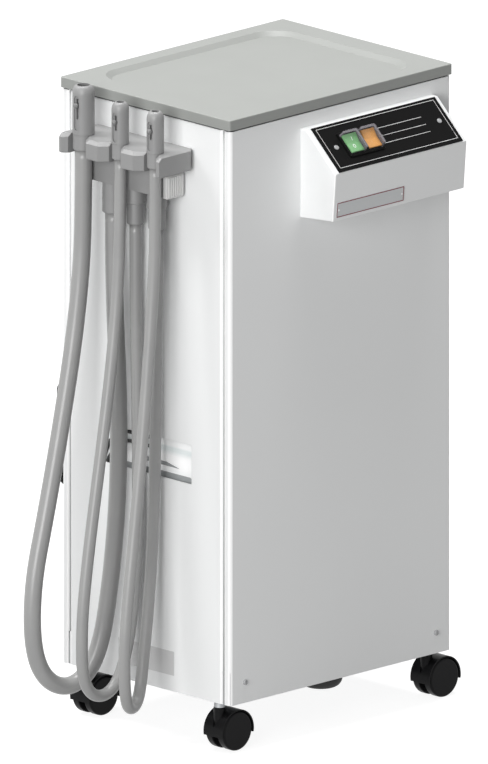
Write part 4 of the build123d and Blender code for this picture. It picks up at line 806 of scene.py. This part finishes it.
def black_rubber():
    """Moulded rubber: dull and almost black, with a dusty bloom."""
    material, tree, shader, place = new_material("moulded_rubber")
    bloom = add_node(tree, "ShaderNodeTexNoise", inputs={
        "Vector": place, "Scale": per_metre(12), "Detail": 4})
    tint(tree, shader, bloom.outputs["Fac"], "1B1B1B", "2A2A2A")
    shader.inputs["Roughness"].default_value = 0.7
    return material


BLACK_RUBBER = black_rubber()
dress(BLACK_RUBBER, "dark_rubber", "jar_rings", "motor_feet", "exhaust_silencer")

# Jar bail: two parallel wires dipped in rubber, which run behind the window and turn down at
# its left end.
BAIL_R = 0.0023
BAIL_BACK = 0.0037
BAIL_ROUTES = {
    "upper": [(0.004, 0.3836), (-0.02, 0.3836), (-0.042, 0.3834), (-0.06, 0.376), (-0.072, 0.358),
              (-0.081, 0.334)],
    "lower": [(0.004, 0.3722), (-0.02, 0.3722), (-0.038, 0.3718), (-0.054, 0.365),
              (-0.067, 0.348), (-0.0745, 0.333)],
}
for name, route in BAIL_ROUTES.items():
    line = route_line(f"bail_{name}", [
        Vector((MIDDLE.x + x, FRONT_LOW.y + BAIL_BACK, z)) for x, z in route])
    bail = link_mesh(f"jar_bail_{name}", tube_mesh(f"jar_bail_{name}", line, BAIL_R),
                     BLACK_RUBBER)
    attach(bail, "cabinet")

# Turbine and motor: sand-cast aluminium housings, the turbine's on top of the motor's. They stand
# on rubber feet in the pan, hidden by the panels.


def cast_aluminium():
    """Sand-cast aluminium: pale grey, dull and slightly pitted."""
    material, tree, shader, place = new_material("cast_aluminium")
    pits = add_node(tree, "ShaderNodeTexNoise", inputs={
        "Vector": place, "Scale": per_metre(1.5), "Detail": 3})
    tint(tree, shader, pits.outputs["Fac"], "A0A1A2", "B4B5B6")
    shader.inputs["Metallic"].default_value = 1.0
    shader.inputs["Roughness"].default_value = 0.55
    return material


dress(cast_aluminium(), "cast_alloy", "turbine_housing", "motor")

# Castors: moulded hoods over twin wheels, both glossy black nylon with smooth treads. The
# wheels run on nickel plated axles pressed into the hoods.


def bright_plate():
    """Nickel plated steel: bright and slightly warm, with faint small marks."""
    material, tree, shader, place = new_material("nickel_plate")
    marks = add_node(tree, "ShaderNodeTexNoise", inputs={
        "Vector": place, "Scale": per_metre(0.8), "Detail": 2})
    tint(tree, shader, marks.outputs["Fac"], "B4B2AE", "CAC8C4")
    shader.inputs["Metallic"].default_value = 1.0
    shader.inputs["Roughness"].default_value = 0.25
    return material


NICKEL = bright_plate()
CASTOR_NYLON = glossy_plastic("black_nylon", "0E0E0F", "141415", 0.3, gloss=0.1)
for corner in ("front_left", "front_right", "rear_left", "rear_right"):
    dress(CASTOR_NYLON, "black_plastic", f"castor_hood_{corner}")
    dress(NICKEL, "zinc_steel", f"castor_axle_{corner}")
    for side in ("left", "right"):
        dress(CASTOR_NYLON, "wheel_black", f"castor_wheel_{corner}_{side}")
